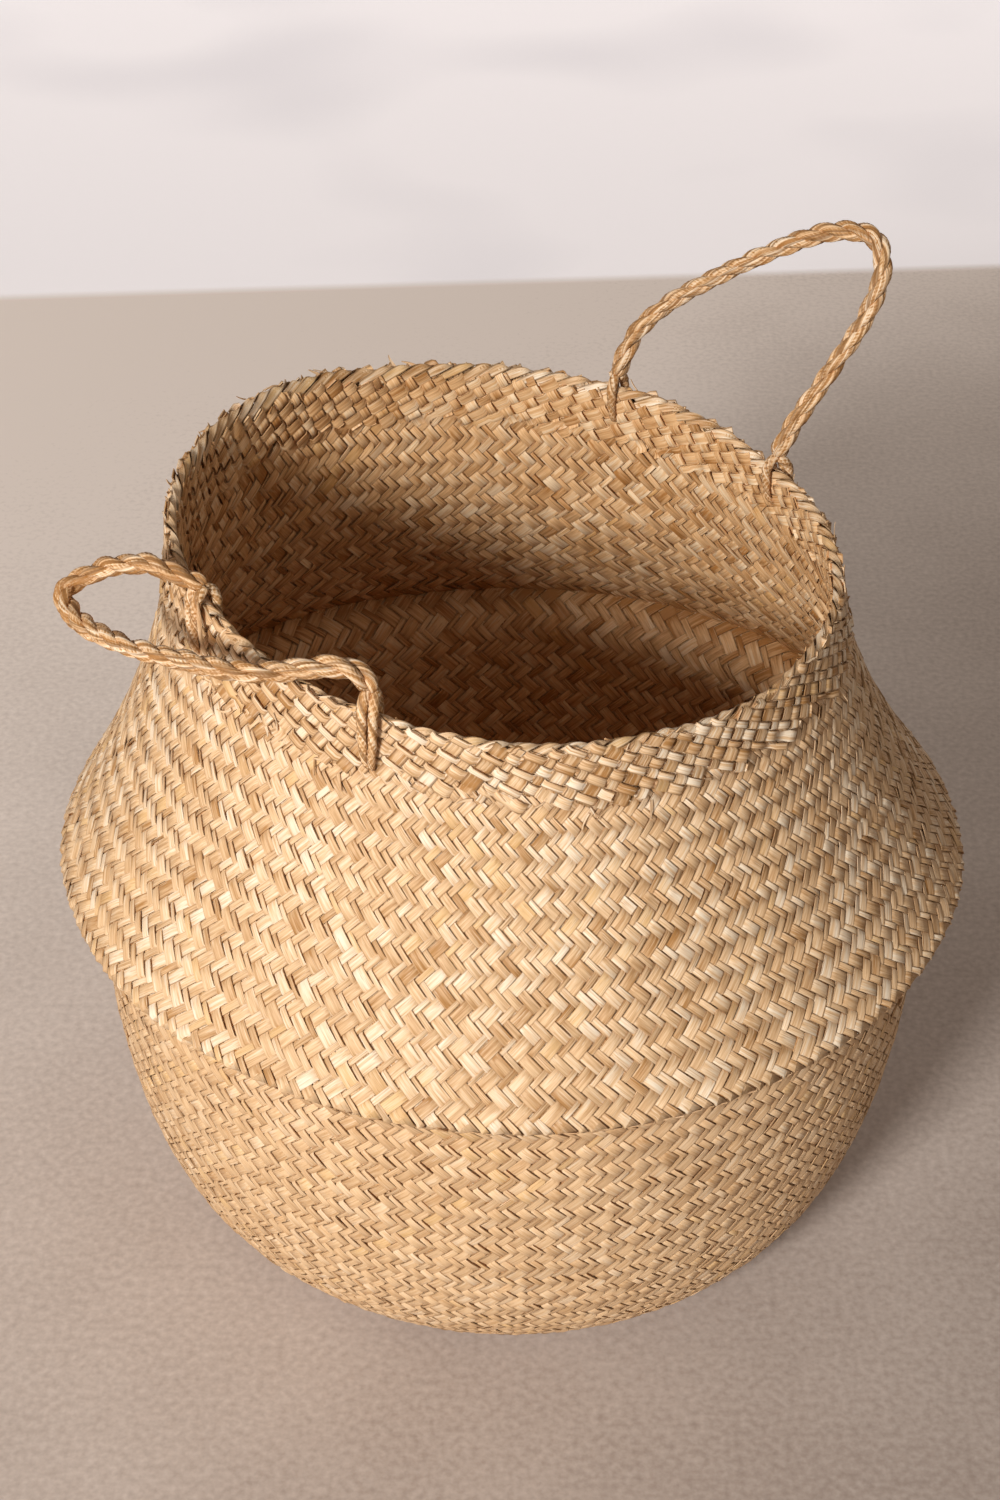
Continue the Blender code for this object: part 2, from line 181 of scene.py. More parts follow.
# The right handle's loop: along the line of its feet as a share of half their spread, and up its
# plane as a share of the reach
RIGHT_ROUTE_SHARES = (
    (-1.0, 0.0), (-1.0, 0.1), (-0.95, 0.24), (-0.74, 0.4), (-0.44, 0.55), (-0.13, 0.69),
    (0.17, 0.81), (0.48, 0.92), (0.78, 0.975), (0.98, 0.975), (1.13, 0.92), (1.215, 0.83),
    (1.235, 0.73), (1.215, 0.6), (1.16, 0.46), (1.09, 0.31), (1.02, 0.16), (1.0, 0.0),
)

# The left handle's loop: along the line of its feet as a share of half their spread, then outwards
# and upwards as shares of the reach
LEFT_ROUTE_SHARES = (
    (-1.0, 0.0, 0.0), (-1.13, 0.02, 0.008), (-1.32, 0.045, 0.016), (-1.52, 0.072, 0.02),
    (-1.7, 0.1, -0.01), (-1.88, 0.125, -0.046), (-2.04, 0.16, -0.1), (-2.15, 0.205, -0.142),
    (-2.17, 0.245, -0.17), (-2.05, 0.285, -0.184), (-1.82, 0.325, -0.176), (-1.5, 0.355, -0.15),
    (-1.18, 0.364, -0.118), (-0.85, 0.36, -0.085), (-0.5, 0.345, -0.042), (-0.18, 0.315, -0.014),
    (0.1, 0.275, 0.008), (0.3, 0.225, 0.026), (0.5, 0.165, 0.056), (0.68, 0.11, 0.084),
    (0.82, 0.065, 0.086), (0.93, 0.025, 0.055), (1.0, 0.0, 0.0),
)

# One leg of a handle's foot, as millimetres out of the wall's middle, above the rim and aside
OUTER_LEG_MM = (
    (0.0, 8.8, 1.6), (2.6, 7.0, 2.2), (5.2, 2.6, 2.4), (6.3, -4.0, 2.3), (7.0, -11.0, 2.0),
    (7.6, -17.0, 1.5), (6.6, -21.5, 0.9), (3.2, -24.5, 0.5), (0.8, -25.4, 0.3),
)
INNER_LEG_MM = (
    (0.0, 8.8, 0.0), (-2.6, 7.2, 0.0), (-4.9, 2.4, 0.3), (-5.1, -4.0, 0.5), (-4.6, -11.0, 0.4),
    (-3.4, -15.5, 0.2), (-0.6, -18.0, 0.0),
)

# How each kind of grass differs from the plainest
LOOKS = {
    "outside_grass": {},
    "bowl_grass": {"contrast": 0.55, "darker": 0.02},
    # The border grass has more painted shade in the gaps between its strips
    "border_grass": {"contrast": 1.4, "painted_gap_shade": 2.2},
    # Painted shade: the inside grass is tinted warmer and darker than the outside's, for the shade inside
    # the basket
    "inside_grass_painted_shade": {"contrast": 1.2, "darker": 0.03, "gloss": 0.3, "tint": (1, 0.90, 0.76)},
    "rope_grass": {
        "contrast": 1.7, "darker": 0.03, "gloss": 0.4, "streaks": 3.6, "crown": 0.0,
        "tint": (1, 0.95, 0.90),
    },
}


def length_setting(name, description, default):
    """A size in metres that a user may change."""
    return FloatProperty(name=name, description=description, default=default, unit="LENGTH")


def angle_setting(name, description, default):
    """An angle in radians that a user may change."""
    return FloatProperty(name=name, description=description, default=default, unit="ROTATION")


def share_setting(name, description, default):
    """A plain number that a user may change."""
    return FloatProperty(name=name, description=description, default=default)


def count_setting(name, description, default):
    """A number of strips that a user may change."""
    return IntProperty(name=name, description=description, default=default)


def colour_setting(name, description, default):
    """A colour that a user may change."""
    return FloatVectorProperty(name=name, description=description, default=default, subtype="COLOR")


class BasketShape(PropertyGroup):
    """Sizes of the basket's body and handles."""

    belly_radius: length_setting("Belly radius", "To the crease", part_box("belly_fold")[1][0])
    belly_height: length_setting("Belly height", "From the floor to the crease", 0.197)
    fold_overhang: length_setting("Fold overhang", "How far the crease stands out", 0.0145)
    fold_drop: length_setting("Fold drop", "Height of the belly's underside", 0.012)
    base_radius: length_setting("Base radius", "Of the flat base", 0.125)
    neck_height: length_setting("Neck height", "From the crease to the rim", 0.154)
    rim_radius: length_setting("Rim radius", "Outside, at the top", 0.1465)
    wall: length_setting("Wall", "Thickness of the woven wall", 0.0025)
    crease_reach: length_setting("Crease reach", "How far the crease is drawn past the belly", 0.0026)
    crease_sag: length_setting("Crease sag", "How far the crease hangs below the belly", 0.0040)
    waist_bend: length_setting("Waist bend", "How far below the fold the bowl turns out", 0.006)
    rise_left: length_setting("Rise left", "How much higher the rim stands on the left", 0.014)
    rise_back: length_setting("Rise back", "How much higher the rim stands at the back", 0.005)
    shift_left: length_setting("Shift left", "How far the rim is pushed left", 0.004)
    flare_height: length_setting("Flare height", "Of the part that folds", 0.077)
    border_height: length_setting("Border height", "Of the turned-back ends", 0.030)
    rope_radius: length_setting("Rope radius", "Of the handles", 0.0042)
    handle_reach: length_setting("Handle reach", "From the feet to the loop's far end", 0.110)
    left_turn: angle_setting("Left handle turn", "Its middle, round from +X", math.radians(229.9))
    left_spread: length_setting("Left handle spread", "Between its feet", 0.0941)
    right_turn: angle_setting("Right handle turn", "Its middle, round from +X", math.radians(49.75))
    right_spread: length_setting("Right handle spread", "Between its feet", 0.0958)
    right_lean: angle_setting("Right handle lean", "Outwards from upright", math.radians(30))


class BasketWeave(PropertyGroup):
    """Counts and sizes of the strips."""

    strips: count_setting("Strips", "Strips each way round the outside", 198)
    inner_strips: count_setting("Inner strips", "Strips each way round the inside", 158)
    steepness: share_setting("Steepness", "How much steeper strips climb at the rim", 1.32)
    unevenness: share_setting("Unevenness", "How much neighbouring strips differ in width", 0.20)
    border_steep: count_setting("Steep border strips", "Narrow, climbing across the border", 116)
    border_flat: count_setting("Flat border strips", "Wide, lying along the border", 84)
    edge_wraps: count_setting("Edge wraps", "Strips that turn over the rim", 92)
    thickness: length_setting("Thickness", "Of one strip", 0.0005)
    relief: length_setting("Relief", "How far a strip rises over another", 0.00076)
    base_pitch: length_setting("Base pitch", "Between the base's strips", 0.0047)
    rope_lay: length_setting("Rope lay", "Length of one turn of the rope's strands", 0.036)


class BasketColours(PropertyGroup):
    """Colours of the dried grass and of the floor."""

    pale: colour_setting("Pale", "Cream strips", (0.90, 0.74, 0.55))
    straw: colour_setting("Straw", "Most strips", (0.78, 0.52, 0.29))
    # Brown is also the base of the painted shade in the gaps between strips
    brown: colour_setting("Brown", "Dark strips and gaps", (0.42, 0.20, 0.06))
    honey: colour_setting("Honey", "The yellowest strips", (0.78, 0.46, 0.14))
    floor: colour_setting("Floor", "Floor", (0.57, 0.445, 0.37))
    backdrop: colour_setting("Backdrop", "Wall behind", (0.84, 0.79, 0.79))


# The woven wall


class Wall:
    """The middle of the woven wall, as a curve from the base's edge up to the rim. A latitude is the
    curve's length divided by its radius, so that strips at 45 degrees are straight in it."""

    def __init__(self, shape, steepness):
        self.shape = shape
        outline = even_steps(np.array(outside_outline(shape)), OUTLINE_STEP)
        for _ in range(OUTLINE_PASSES):
            outline[1:-1] = (outline[:-2] + 2 * outline[1:-1] + outline[2:]) / 4
        run = np.gradient(outline, axis=0)
        run /= np.linalg.norm(run, axis=1)[:, None]
        self.out, self.up = run[:, 1], -run[:, 0]
        self.radius = outline[:, 0] - self.out * shape.wall / 2
        self.height = outline[:, 1] - self.up * shape.wall / 2
        length = np.hypot(np.diff(self.radius), np.diff(self.height))
        up = np.clip((self.height[1:] - shape.belly_height) / shape.neck_height, 0.0, 1.0)
        steep = 1 + (steepness - 1) * np.sqrt(up)
        across = self.radius[:-1] + self.radius[1:]
        self.latitude = np.append(0.0, np.cumsum(length / across * 2 / steep))

    def latitude_at(self, height):
        """The latitude of a height, before the rim leans."""
        return float(np.interp(height, self.height, self.latitude))

    def crease(self):
        """The latitude of the crease."""
        return float(self.latitude[np.argmax(self.radius)])

    def place(self, angle, latitude, lift):
        """Points at an angle round the basket and a latitude, lifted out of the wall's middle."""
        past = np.maximum(latitude - self.latitude[-1], 0.0) * self.radius[-1]
        out = np.interp(latitude, self.latitude, self.out)
        up = np.interp(latitude, self.latitude, self.up)
        radius = np.interp(latitude, self.latitude, self.radius) + lift * out
        height = np.interp(latitude, self.latitude, self.height) + lift * up + past
        return self.settle(angle, radius, height)

    def settle(self, angle, radius, height):
        """Points at a radius and height of the round basket, put out of round and leaned with its rim."""
        shape = self.shape
        grown = np.clip(height / shape.belly_height, 0.0, 1.0)
        swell = sum(share * np.cos(count * angle + turn) for count, share, turn in OUT_OF_ROUND_SHARES)
        radius = radius * (1 + swell * grown)
        x, y = radius * np.cos(angle), radius * np.sin(angle)
        up = np.clip((height - shape.belly_height) / shape.neck_height, 0.0, 1.0)
        wave = sum(size * MM * np.cos(count * angle + turn) for count, size, turn in RIM_WAVES_MM)
        lift = (shape.rise_back * y - shape.rise_left * x) / shape.rim_radius + wave * up**3
        return np.stack([x - shape.shift_left * up**1.5, y, height + lift * up], axis=-1)


def gone_along(points):
    """How far along a polyline each of its points lies."""
    return np.append(0.0, np.cumsum(np.linalg.norm(np.diff(points, axis=0), axis=1)))


def even_steps(points, step):
    """The same polyline with points an even step apart."""
    gone = gone_along(points)
    want = np.linspace(0.0, gone[-1], max(int(gone[-1] / step), 2))
    return np.stack([np.interp(want, gone, points[:, i]) for i in range(points.shape[1])], axis=1)


def outside_outline(shape):
    """Radius and height of the wall's outside, from the base's edge up to the rim."""
    places = []
    waist = shape.belly_radius - shape.fold_overhang
    bowl_height = shape.belly_height - shape.crease_sag - shape.fold_drop
    for turn in np.linspace(math.pi / 2, 0.0, 160):
        down = math.sin(turn) ** (2 / BOWL_SIDE_CURVE)
        out = max(math.cos(turn), 0.0) ** (2 / BOWL_FLOOR_CURVE)
        radius = shape.base_radius + (waist - shape.base_radius) * out
        places.append((radius, bowl_height * (1 - down)))
    bend_from = bowl_height - shape.waist_bend
    start = next(number for number, place in enumerate(places) if place[1] > bend_from)
    places = places[:start]
    crease = (shape.belly_radius + shape.crease_reach, shape.belly_height - shape.crease_sag)
    for share in np.linspace(0.0, 1.0, 40)[1:-1]:
        first, middle, last = (1 - share) ** 2, 2 * share * (1 - share), share**2
        radius = first * places[start - 1][0] + middle * waist + last * crease[0]
        places.append((radius, first * places[start - 1][1] + middle * bowl_height + last * crease[1]))
    for up in np.linspace(0.0, 1.0, 80):
        radius = shape.rim_radius + (shape.belly_radius - shape.rim_radius) * (1 - up) ** NECK_CURVE
        height = shape.belly_height - shape.crease_sag * (1 - up)
        places.append((radius + shape.crease_reach * (1 - up) ** 6, height + shape.neck_height * up))
    return places


# Meshes of strips and strands


def ring_mesh(name, rings, fibre, tone, hue, keep=None, crisp=True):
    """A mesh of strips. rings holds the corners of each cross-section: strip, sample, corner, xyz. fibre
    is a vector, and tone and hue are numbers, for each corner. keep says which lengths between samples
    are there. A crisp strip has sharp long edges."""
    strips, samples, corners = rings.shape[:3]
    index = np.arange(strips * samples * corners).reshape(strips, samples, corners)
    after = np.roll(index, -1, axis=2)
    quads = np.stack([index[:, :-1], after[:, :-1], after[:, 1:], index[:, 1:]], axis=-1)
    there = np.ones((strips, samples - 1), bool) if keep is None else keep
    sides = quads[there].reshape(-1)
    framed = np.zeros((strips, samples + 1), bool)
    framed[:, 1:-1] = there
    starts = index[(framed[:, 1:] & ~framed[:, :-1])][:, ::-1].reshape(-1)
    ends = index[(framed[:, :-1] & ~framed[:, 1:])].reshape(-1)
    loops = np.concatenate([sides, starts, ends])
    caps = (len(starts) + len(ends)) // corners
    counts = np.concatenate([np.full(len(sides) // 4, 4), np.full(caps, corners)])
    used = np.unique(loops)
    fresh = np.zeros(index.size, np.int64)
    fresh[used] = np.arange(len(used))
    mesh = bpy.data.meshes.new(name)
    mesh.vertices.add(len(used))
    mesh.vertices.foreach_set("co", rings.reshape(-1, 3)[used].astype(np.float32).ravel())
    mesh.loops.add(len(loops))
    mesh.loops.foreach_set("vertex_index", fresh[loops].astype(np.int32))
    mesh.polygons.add(len(counts))
    mesh.polygons.foreach_set("loop_start", np.append(0, np.cumsum(counts)[:-1]).astype(np.int32))
    mesh.update(calc_edges=True)
    mesh.polygons.foreach_set("use_smooth", np.ones(len(counts), bool))
    if crisp:
        ends_of = np.empty(len(mesh.edges) * 2, np.int32)
        mesh.edges.foreach_get("vertices", ends_of)
        ends_of = used[ends_of.reshape(-1, 2)]
        cut = np.zeros(index.size, bool)
        cut[starts] = cut[ends] = True
        along = abs(ends_of[:, 0] - ends_of[:, 1]) == corners
        along |= cut[ends_of[:, 0]] & cut[ends_of[:, 1]]
        mesh.attributes.new("sharp_edge", "BOOLEAN", "EDGE").data.foreach_set("value", along)
    for label, values in (("tone", tone), ("hue", hue), ("fibre", fibre)):
        wide = label == "fibre"
        full = np.broadcast_to(values, rings.shape[:3] + ((3,) if wide else ()))
        data = full.reshape(-1, 3 if wide else 1)[used].astype(np.float32).ravel()
        layer = mesh.attributes.new(label, "FLOAT_VECTOR" if wide else "FLOAT", "POINT")
        layer.data.foreach_set("vector" if wide else "value", data)
    mesh.validate()
    return mesh


def stacked(*values):
    """Arrays of numbers as one array of vectors."""
    return np.stack(np.broadcast_arrays(*values), axis=-1)


def joined_mesh(name, parts, crisp=True):
    """One mesh of parts that each hold rings, fibre, tone and hue, and keep where there is one."""
    return ring_mesh(name, *(np.concatenate(values) for values in zip(*parts)), crisp=crisp)


def piece(mesh, look, body, node=None):
    """Links a mesh as a piece of that kind of grass. It rides on a body where one is named, and is left
    unattached with its transform applied otherwise. It stands for a node where one is given."""
    thing = bpy.data.objects.new(mesh.name, mesh)
    bpy.context.scene.collection.objects.link(thing)
    mesh.materials.append(bpy.data.materials.get(look) or seagrass(look, **LOOKS[look]))
    if node:
        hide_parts(node)
    if isinstance(body, str):
        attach(thing, body)
    else:
        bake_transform(thing)


class Lattice:
    """Where the strips of a weave lie. Strips of the first family climb to the right, seen from outside,
    and keep a whole first number; strips of the second climb to the left and keep a whole second one.
    turns and climbs are how far round and how far up each number goes, in radians."""

    def __init__(self, counts, turn, climb, uneven, seed):
        self.counts = counts
        self.turns = ((math.tau - counts[1] * turn) / counts[0], turn)
        self.climbs = (climb * counts[1] / counts[0], climb)
        chance = np.random.default_rng(seed)
        self.edges = []
        for count in counts:
            number = np.arange(count)
            calm = 0.75 + 0.25 * np.sin(number / count * math.tau * 5 + chance.uniform(0, 6))
            edge = uneven * calm * np.where(number % 2 == 0, 1, -1)
            edge = edge + chance.normal(0, uneven * 0.4, count)
            self.edges.append(np.append(edge, edge[0]).clip(-0.3, 0.3))

    def shifted(self, number, family):
        """A number moved with the uneven edges of its family's strips."""
        count = self.counts[family]
        return number + np.interp(np.mod(number + 0.5, count), np.arange(count + 1), self.edges[family])

    def spot(self, first, second):
        """Angle and latitude of a pair of numbers."""
        first, second = self.shifted(first, 0), self.shifted(second, 1)
        angle = self.turns[0] * first + self.turns[1] * second
        return angle, self.climbs[1] * second - self.climbs[0] * first

    def rows(self, low, high, direction):
        """For each strip of a family, the rows between two latitudes, sampled twice at each crossing.
        A row is the second number less the first."""
        family = 0 if direction > 0 else 1
        number = np.arange(self.counts[family])[:, None]
        skew = (self.climbs[1] - self.climbs[0]) * number
        climb = self.climbs[1 - family]
        first = np.floor((low - skew) / climb)
        whole = first + np.arange(int((high - low) / climb) + 3)[None, :]
        sampled = np.stack([whole - BESIDE_CROSSING, whole + BESIDE_CROSSING], axis=2)
        return sampled.reshape(len(number), -1)


class Strips:
    """How the strips of one family wander, tilt and vary in colour. over is how many strips each one
    passes over and under: 2 in a twill, 1 in a plain weave."""

    def __init__(self, count, over, seed):
        self.count, self.over = count, over
        self.chance = np.random.default_rng(seed)

    def level(self, row):
        """1 where a rising strip lies over the other at a whole row, and -1 where it lies under."""
        return np.where(np.mod(row, 2 * self.over) < self.over, 1.0, -1.0)

    def height(self, row):
        """How far a rising strip stands off the middle, in reliefs."""
        near = np.round(row)
        here, there = self.level(near), self.level(near + np.sign(row - near))
        return here * np.where(here == there, 1.0, 0.74)

    def slow(self, row, reach):
        """A smooth wander along each strip, between about -1 and 1."""
        total = 0.0
        for _ in range(3):
            turn = self.chance.uniform(0, math.tau, (self.count, 1))
            pace = self.chance.uniform(0.6, 1.6, (self.count, 1)) * math.tau / reach
            total = total + np.sin(row * pace + turn)
        return total / 2.2

    def per_float(self, row, spread):
        """A value that differs from one float of a strip to its next."""
        number = np.floor(np.round(row) / self.over).astype(int)
        number -= number.min()
        table = self.chance.normal(0.0, spread, (self.count, number.max() + 1))
        return np.take_along_axis(table, number, axis=1)


def strip_values(strips, row):
    """Colour values of each sample of each strip: its tone, and how yellow it is."""
    base = strips.chance.beta(2.6, 2.2, (strips.count, 1))
    tone = base + 0.13 * strips.slow(row, 60) + strips.per_float(row, 0.13)
    yellow = strips.chance.uniform(0, 1, (strips.count, 1)) > 0.86
    hue = yellow * np.clip(strips.slow(row, 45) * 2.0 + 0.1, 0, 1)
    return np.clip(tone, 0, 1), hue


def family(
    wall, weave, lattice, strips, row, direction, lift, fill=0.465, ends=0.0, tilted=0.11, deeper=1.0
):
    """Cross-sections of one family of strips: direction is 1 where they climb to the right, seen from
    outside, and -1 where they climb to the left. ends is a further lift of each sample."""
    number = np.arange(strips.count)[:, None]
    aside = 0.03 * strips.slow(row, 26)
    width = fill * (1 - 0.05 * np.abs(strips.slow(row, 40)))
    width = width * strips.chance.uniform(0.93, 1.02, (strips.count, 1))
    rise = direction * strips.height(row) * weave.relief * deeper
    rise = rise + strips.per_float(row, 0.05) * MM + ends
    tilt = strips.per_float(row, tilted)
    tone, hue = strip_values(strips, row)
    pitch = wall.shape.belly_radius * math.tau / lattice.counts[0] * math.sqrt(0.5)
    rings, fibre = [], []
    for side, face in CORNERS:
        across = number + aside + side * width
        along = number + direction * row + 0.04 * side * strips.per_float(row, 0.5)
        pair = (across, along) if direction > 0 else (along, across)
        angle, latitude = lattice.spot(*pair)
        height = lift + rise + face * weave.thickness / 2 + tilt * side * width * pitch
        rings.append(wall.place(angle, latitude, height))
        fibre.append(stacked(row, side * 0.5, number * 7.3 + face * 3.1))
    return np.stack(rings, axis=2), np.stack(fibre, axis=2), tone[..., None], hue[..., None]


def woven(name, wall, weave, low, high, side=1):
    """A mesh of both families of a 2/2 twill between two latitudes of the wall: its outer face where
    side is 1, and its inner face, of wider strips, where it is -1. The strips cross square where they
    lie at 45 degrees, and neighbouring pieces share the samples that they meet at."""
    count = weave.strips if side > 0 else weave.inner_strips
    step = math.pi / count
    lattice = Lattice((count, count), step, step, weave.unevenness, 7)
    lift = OUTER_LIFT if side > 0 else INNER_LIFT
    parts = []
    for direction in (1, -1):
        strips = Strips(count, TWILL, 20 + direction + 5 * side)
        row = lattice.rows(0.0, wall.latitude[-1], direction)
        rings, fibre, tone, hue = family(wall, weave, lattice, strips, row, direction, lift)
        # Painted shade: the lining darkens along the crease, where the fold is in shade
        if side < 0:
            away = (row * step - wall.crease()) / CREASE_PAINTED_SHADE_REACH
            tone = tone - CREASE_PAINTED_SHADE * np.exp(-(away**2))[..., None]
        first, last = np.searchsorted(row[0], (low / step, high / step))
        parts.append([values[:, first : last + 1] for values in (rings, fibre, tone, hue)])
    return joined_mesh(name, parts)


def flat_twill(name, weave, radius, height, seed):
    """A round mat of straight strips in a 2/2 twill."""
    pitch = weave.base_pitch
    half = int(radius / pitch)
    count = 2 * half + 1
    parts = []
    for direction in (1, -1):
        strips = Strips(count, TWILL, seed + direction)
        number = (np.arange(count) - half)[:, None]
        whole = np.arange(-half - 1, half + 2)
        row = np.stack([whole - BESIDE_CROSSING, whole + BESIDE_CROSSING], axis=1).reshape(1, -1)
        row = np.repeat(row, count, axis=0)
        reach = np.sqrt(np.maximum(radius**2 - (np.abs(number) * pitch) ** 2, 0.0)) / pitch
        along = np.clip(row, -reach, reach)
        crossing = np.mod(np.round(row) - number * direction, 4) < 2
        rise = np.where(crossing, 1, -1) * direction * weave.relief * 0.8
        tone, hue = strip_values(strips, row)
        tilt = strips.per_float(row, 0.03)
        rings, fibre = [], []
        for side, face in CORNERS:
            across = number + side * 0.46 * direction
            x, y = (along, across) if direction < 0 else (-across, along)
            z = height + rise + face * weave.thickness / 2 + tilt * side * pitch / 2
            rings.append(stacked(x * pitch, -y * pitch, z))
            fibre.append(stacked(row, side * 0.5, number * 5.7 + face))
        keep = np.abs(along[:, 1:] - along[:, :-1]) > 0.01
        rings, fibre = np.stack(rings, axis=2), np.stack(fibre, axis=2)
        parts.append((rings, fibre, tone[..., None], hue[..., None], keep))
    return joined_mesh(name, parts)


def border(name, wall, weave, seed, side):
    """The doubled border: the strips' ends turned back in a plain weave over the neck's own, outside
    where side is 1 and inside where it is -1. The wide ones lie nearly along the rim and the narrow ones
    cross them steeply."""
    shape = wall.shape
    top = wall.latitude[-1] - (0.5 if side > 0 else 3.0) * MM / shape.rim_radius
    low = wall.latitude_at(shape.belly_height + shape.neck_height - shape.border_height)
    parts = []
    counts = (weave.border_steep, weave.border_flat)
    lattice = Lattice(counts, BORDER_TURN, BORDER_CLIMB, BORDER_UNEVENNESS, seed)
    for direction in (1, -1):
        steep = direction > 0
        count = counts[0] if steep else counts[1]
        strips = Strips(count, PLAIN_WEAVE, seed + direction)
        row = lattice.rows(low - 0.03, top + 0.02, direction)
        number = np.arange(count)[:, None]
        along = number + direction * row
        _, latitude = lattice.spot(*((number, along) if steep else (along, number)))
        start = low + strips.chance.uniform(-0.012, 0.030, (count, 1))
        keep = (latitude[:, :-1] > start) & (latitude[:, 1:] < top + 0.006)
        loose = side * 0.9 * MM * np.exp(-np.clip(latitude - start, 0, 1) / 0.02)
        lift = side * shape.wall / 2 + (0.65 if side > 0 else -1.05) * MM
        fill = 0.38 if steep else 0.47
        values = family(wall, weave, lattice, strips, row, direction, lift, fill, loose, 0.09, 1.5)
        parts.append((*values, keep))
    widest = max(rings.shape[1] for rings, *_ in parts)
    widths = (widest, widest, widest, widest, widest - 1)
    return joined_mesh(name, [[padded(*each) for each in zip(part, widths)] for part in parts])


def padded(values, width):
    """Samples filled up to a common number by repeating the last; of what is kept, with none."""
    short = width - values.shape[1]
    if values.dtype == bool:
        return np.pad(values, ((0, 0), (0, short)))
    return np.concatenate([values] + [values[:, -1:]] * short, axis=1)


def edge_wraps(name, wall, weave, seed):
    """Flat strips that climb at a low slant out of the border, turn over the rim and go down inside, side
    by side like the strands of a cord."""
    shape = wall.shape
    count = weave.edge_wraps
    chance = np.random.default_rng(seed)
    rim = shape.belly_height + shape.neck_height
    middle = shape.rim_radius - shape.wall / 2
    share = np.linspace(-1.0, 1.0, 21)[None, :]
    stand = (2.2 + 0.25 * chance.normal(0, 1, (count, 1)).clip(-1.5, 1.5)) * MM
    climb = chance.uniform(7.2, 9.2, (count, 1)) * MM
    run = 16 * MM
    half = chance.uniform(1.7, 2.3, (count, 1)) * MM
    slant = np.arctan2(climb, run)
    start = (np.arange(count)[:, None] + chance.uniform(-0.12, 0.12, (count, 1))) * math.tau / count
    rings, fibre = [], []
    for side, face in CORNERS:
        narrow = side * half * (1 - 0.35 * share**6)
        over = climb * share + narrow * np.cos(slant)
        angle = start + (run * share - narrow * np.sin(slant)) / middle
        lean = np.clip(over / stand, -math.pi / 2, math.pi / 2)
        drop = np.maximum(np.abs(over) - stand * math.pi / 2, 0.0)
        lifted = stand * 0.92 + face * weave.thickness / 2 - 0.25 * MM * share**4
        radius = middle - lifted * np.sin(lean)
        height = rim - stand * 0.75 + lifted * np.cos(lean) - drop
        rings.append(wall.settle(*np.broadcast_arrays(angle, radius, height)))
        strip = np.arange(count)[:, None] * 3.3 + face
        fibre.append(stacked(share * 4, side * 0.5, strip))
    tone = chance.beta(2.6, 2.0, (count, 1, 1)) + np.zeros((count, share.size, 1))
    hue = (chance.uniform(0, 1, (count, 1, 1)) > 0.9) * np.ones((count, share.size, 1))
    return ring_mesh(name, np.stack(rings, axis=2), np.stack(fibre, axis=2), tone, hue)


# Ropes and strands


def smooth_route(points, step):
    """Points an even step apart along a smooth curve through the given points."""
    points = np.array(points, float)
    ends = np.vstack([2 * points[0] - points[1], points, 2 * points[-1] - points[-2]])
    share = np.linspace(0, 1, 16, endpoint=False)[:, None]
    fine = []
    for a, b, c, d in zip(ends, ends[1:], ends[2:], ends[3:]):
        cubic = (3 * b - a - 3 * c + d) * share**3
        fine.append((2 * b + (c - a) * share + (2 * a - 5 * b + 4 * c - d) * share**2 + cubic) / 2)
    return even_steps(np.vstack(fine + [points[-1:]]), step)


def frames_along(route):
    """Tangents and two steady normals along a route."""
    ahead = np.gradient(route, axis=0)
    ahead /= np.linalg.norm(ahead, axis=1)[:, None]
    first = np.cross(ahead[0], (0.3, 0.5, 0.8))
    normals = [first / np.linalg.norm(first)]
    for tangent in ahead[1:]:
        normal = normals[-1] - tangent * np.dot(normals[-1], tangent)
        normals.append(normal / np.linalg.norm(normal))
    normals = np.array(normals)
    return ahead, normals, np.cross(ahead, normals)


def strand(route, radius, seed, sides=20, leaves=5, lay=0.034):
    """Cross-sections of one strand of twisted leaves, whose ridges wind along it."""
    _, first, second = frames_along(route)
    gone = gone_along(route)
    chance = np.random.default_rng(seed)
    round_it = np.arange(sides) * math.tau / sides
    turned = round_it + (gone[:, None] / lay * math.tau + chance.uniform(0, math.tau))
    ridge = np.abs(np.sin(turned * leaves / 2 + 0.6 * np.sin(2 * turned + gone[:, None] / 0.02)))
    soft = 0.06 * np.sin(gone[:, None] / 0.011 + chance.uniform(0, 6))
    soft = soft + 0.03 * np.sin(gone[:, None] / 0.0037)
    reach = radius[:, None] * (0.70 + 0.38 * np.sqrt(ridge) + soft)
    rings = (
        route[:, None, :]
        + first[:, None, :] * (np.cos(round_it) * reach)[..., None]
        + second[:, None, :] * (np.sin(round_it) * reach)[..., None]
    )
    fibre = stacked(gone[:, None] / 0.006, np.cos(turned) * 0.9, np.sin(turned) * 0.9 + seed * 1.7)
    # Painted shade: the grooves between the leaves are coloured darker
    painted_groove_shade = np.clip(1 - ridge / 0.5, 0, 1)
    leaf = np.floor(turned * leaves / math.tau + 0.5) % leaves
    shade = 0.28 * np.sin(leaf * 2.4 + seed * 1.3 + gone[:, None] / 0.05)
    tone = np.clip(0.70 + shade - 1.5 * painted_groove_shade + 0.12 * np.sin(gone[:, None] / 0.017 + seed), -0.9, 1)
    hue = np.full(tone.shape, max(0.0, chance.normal(0.05, 0.25)))
    return rings[None], fibre[None], tone[None], hue[None]


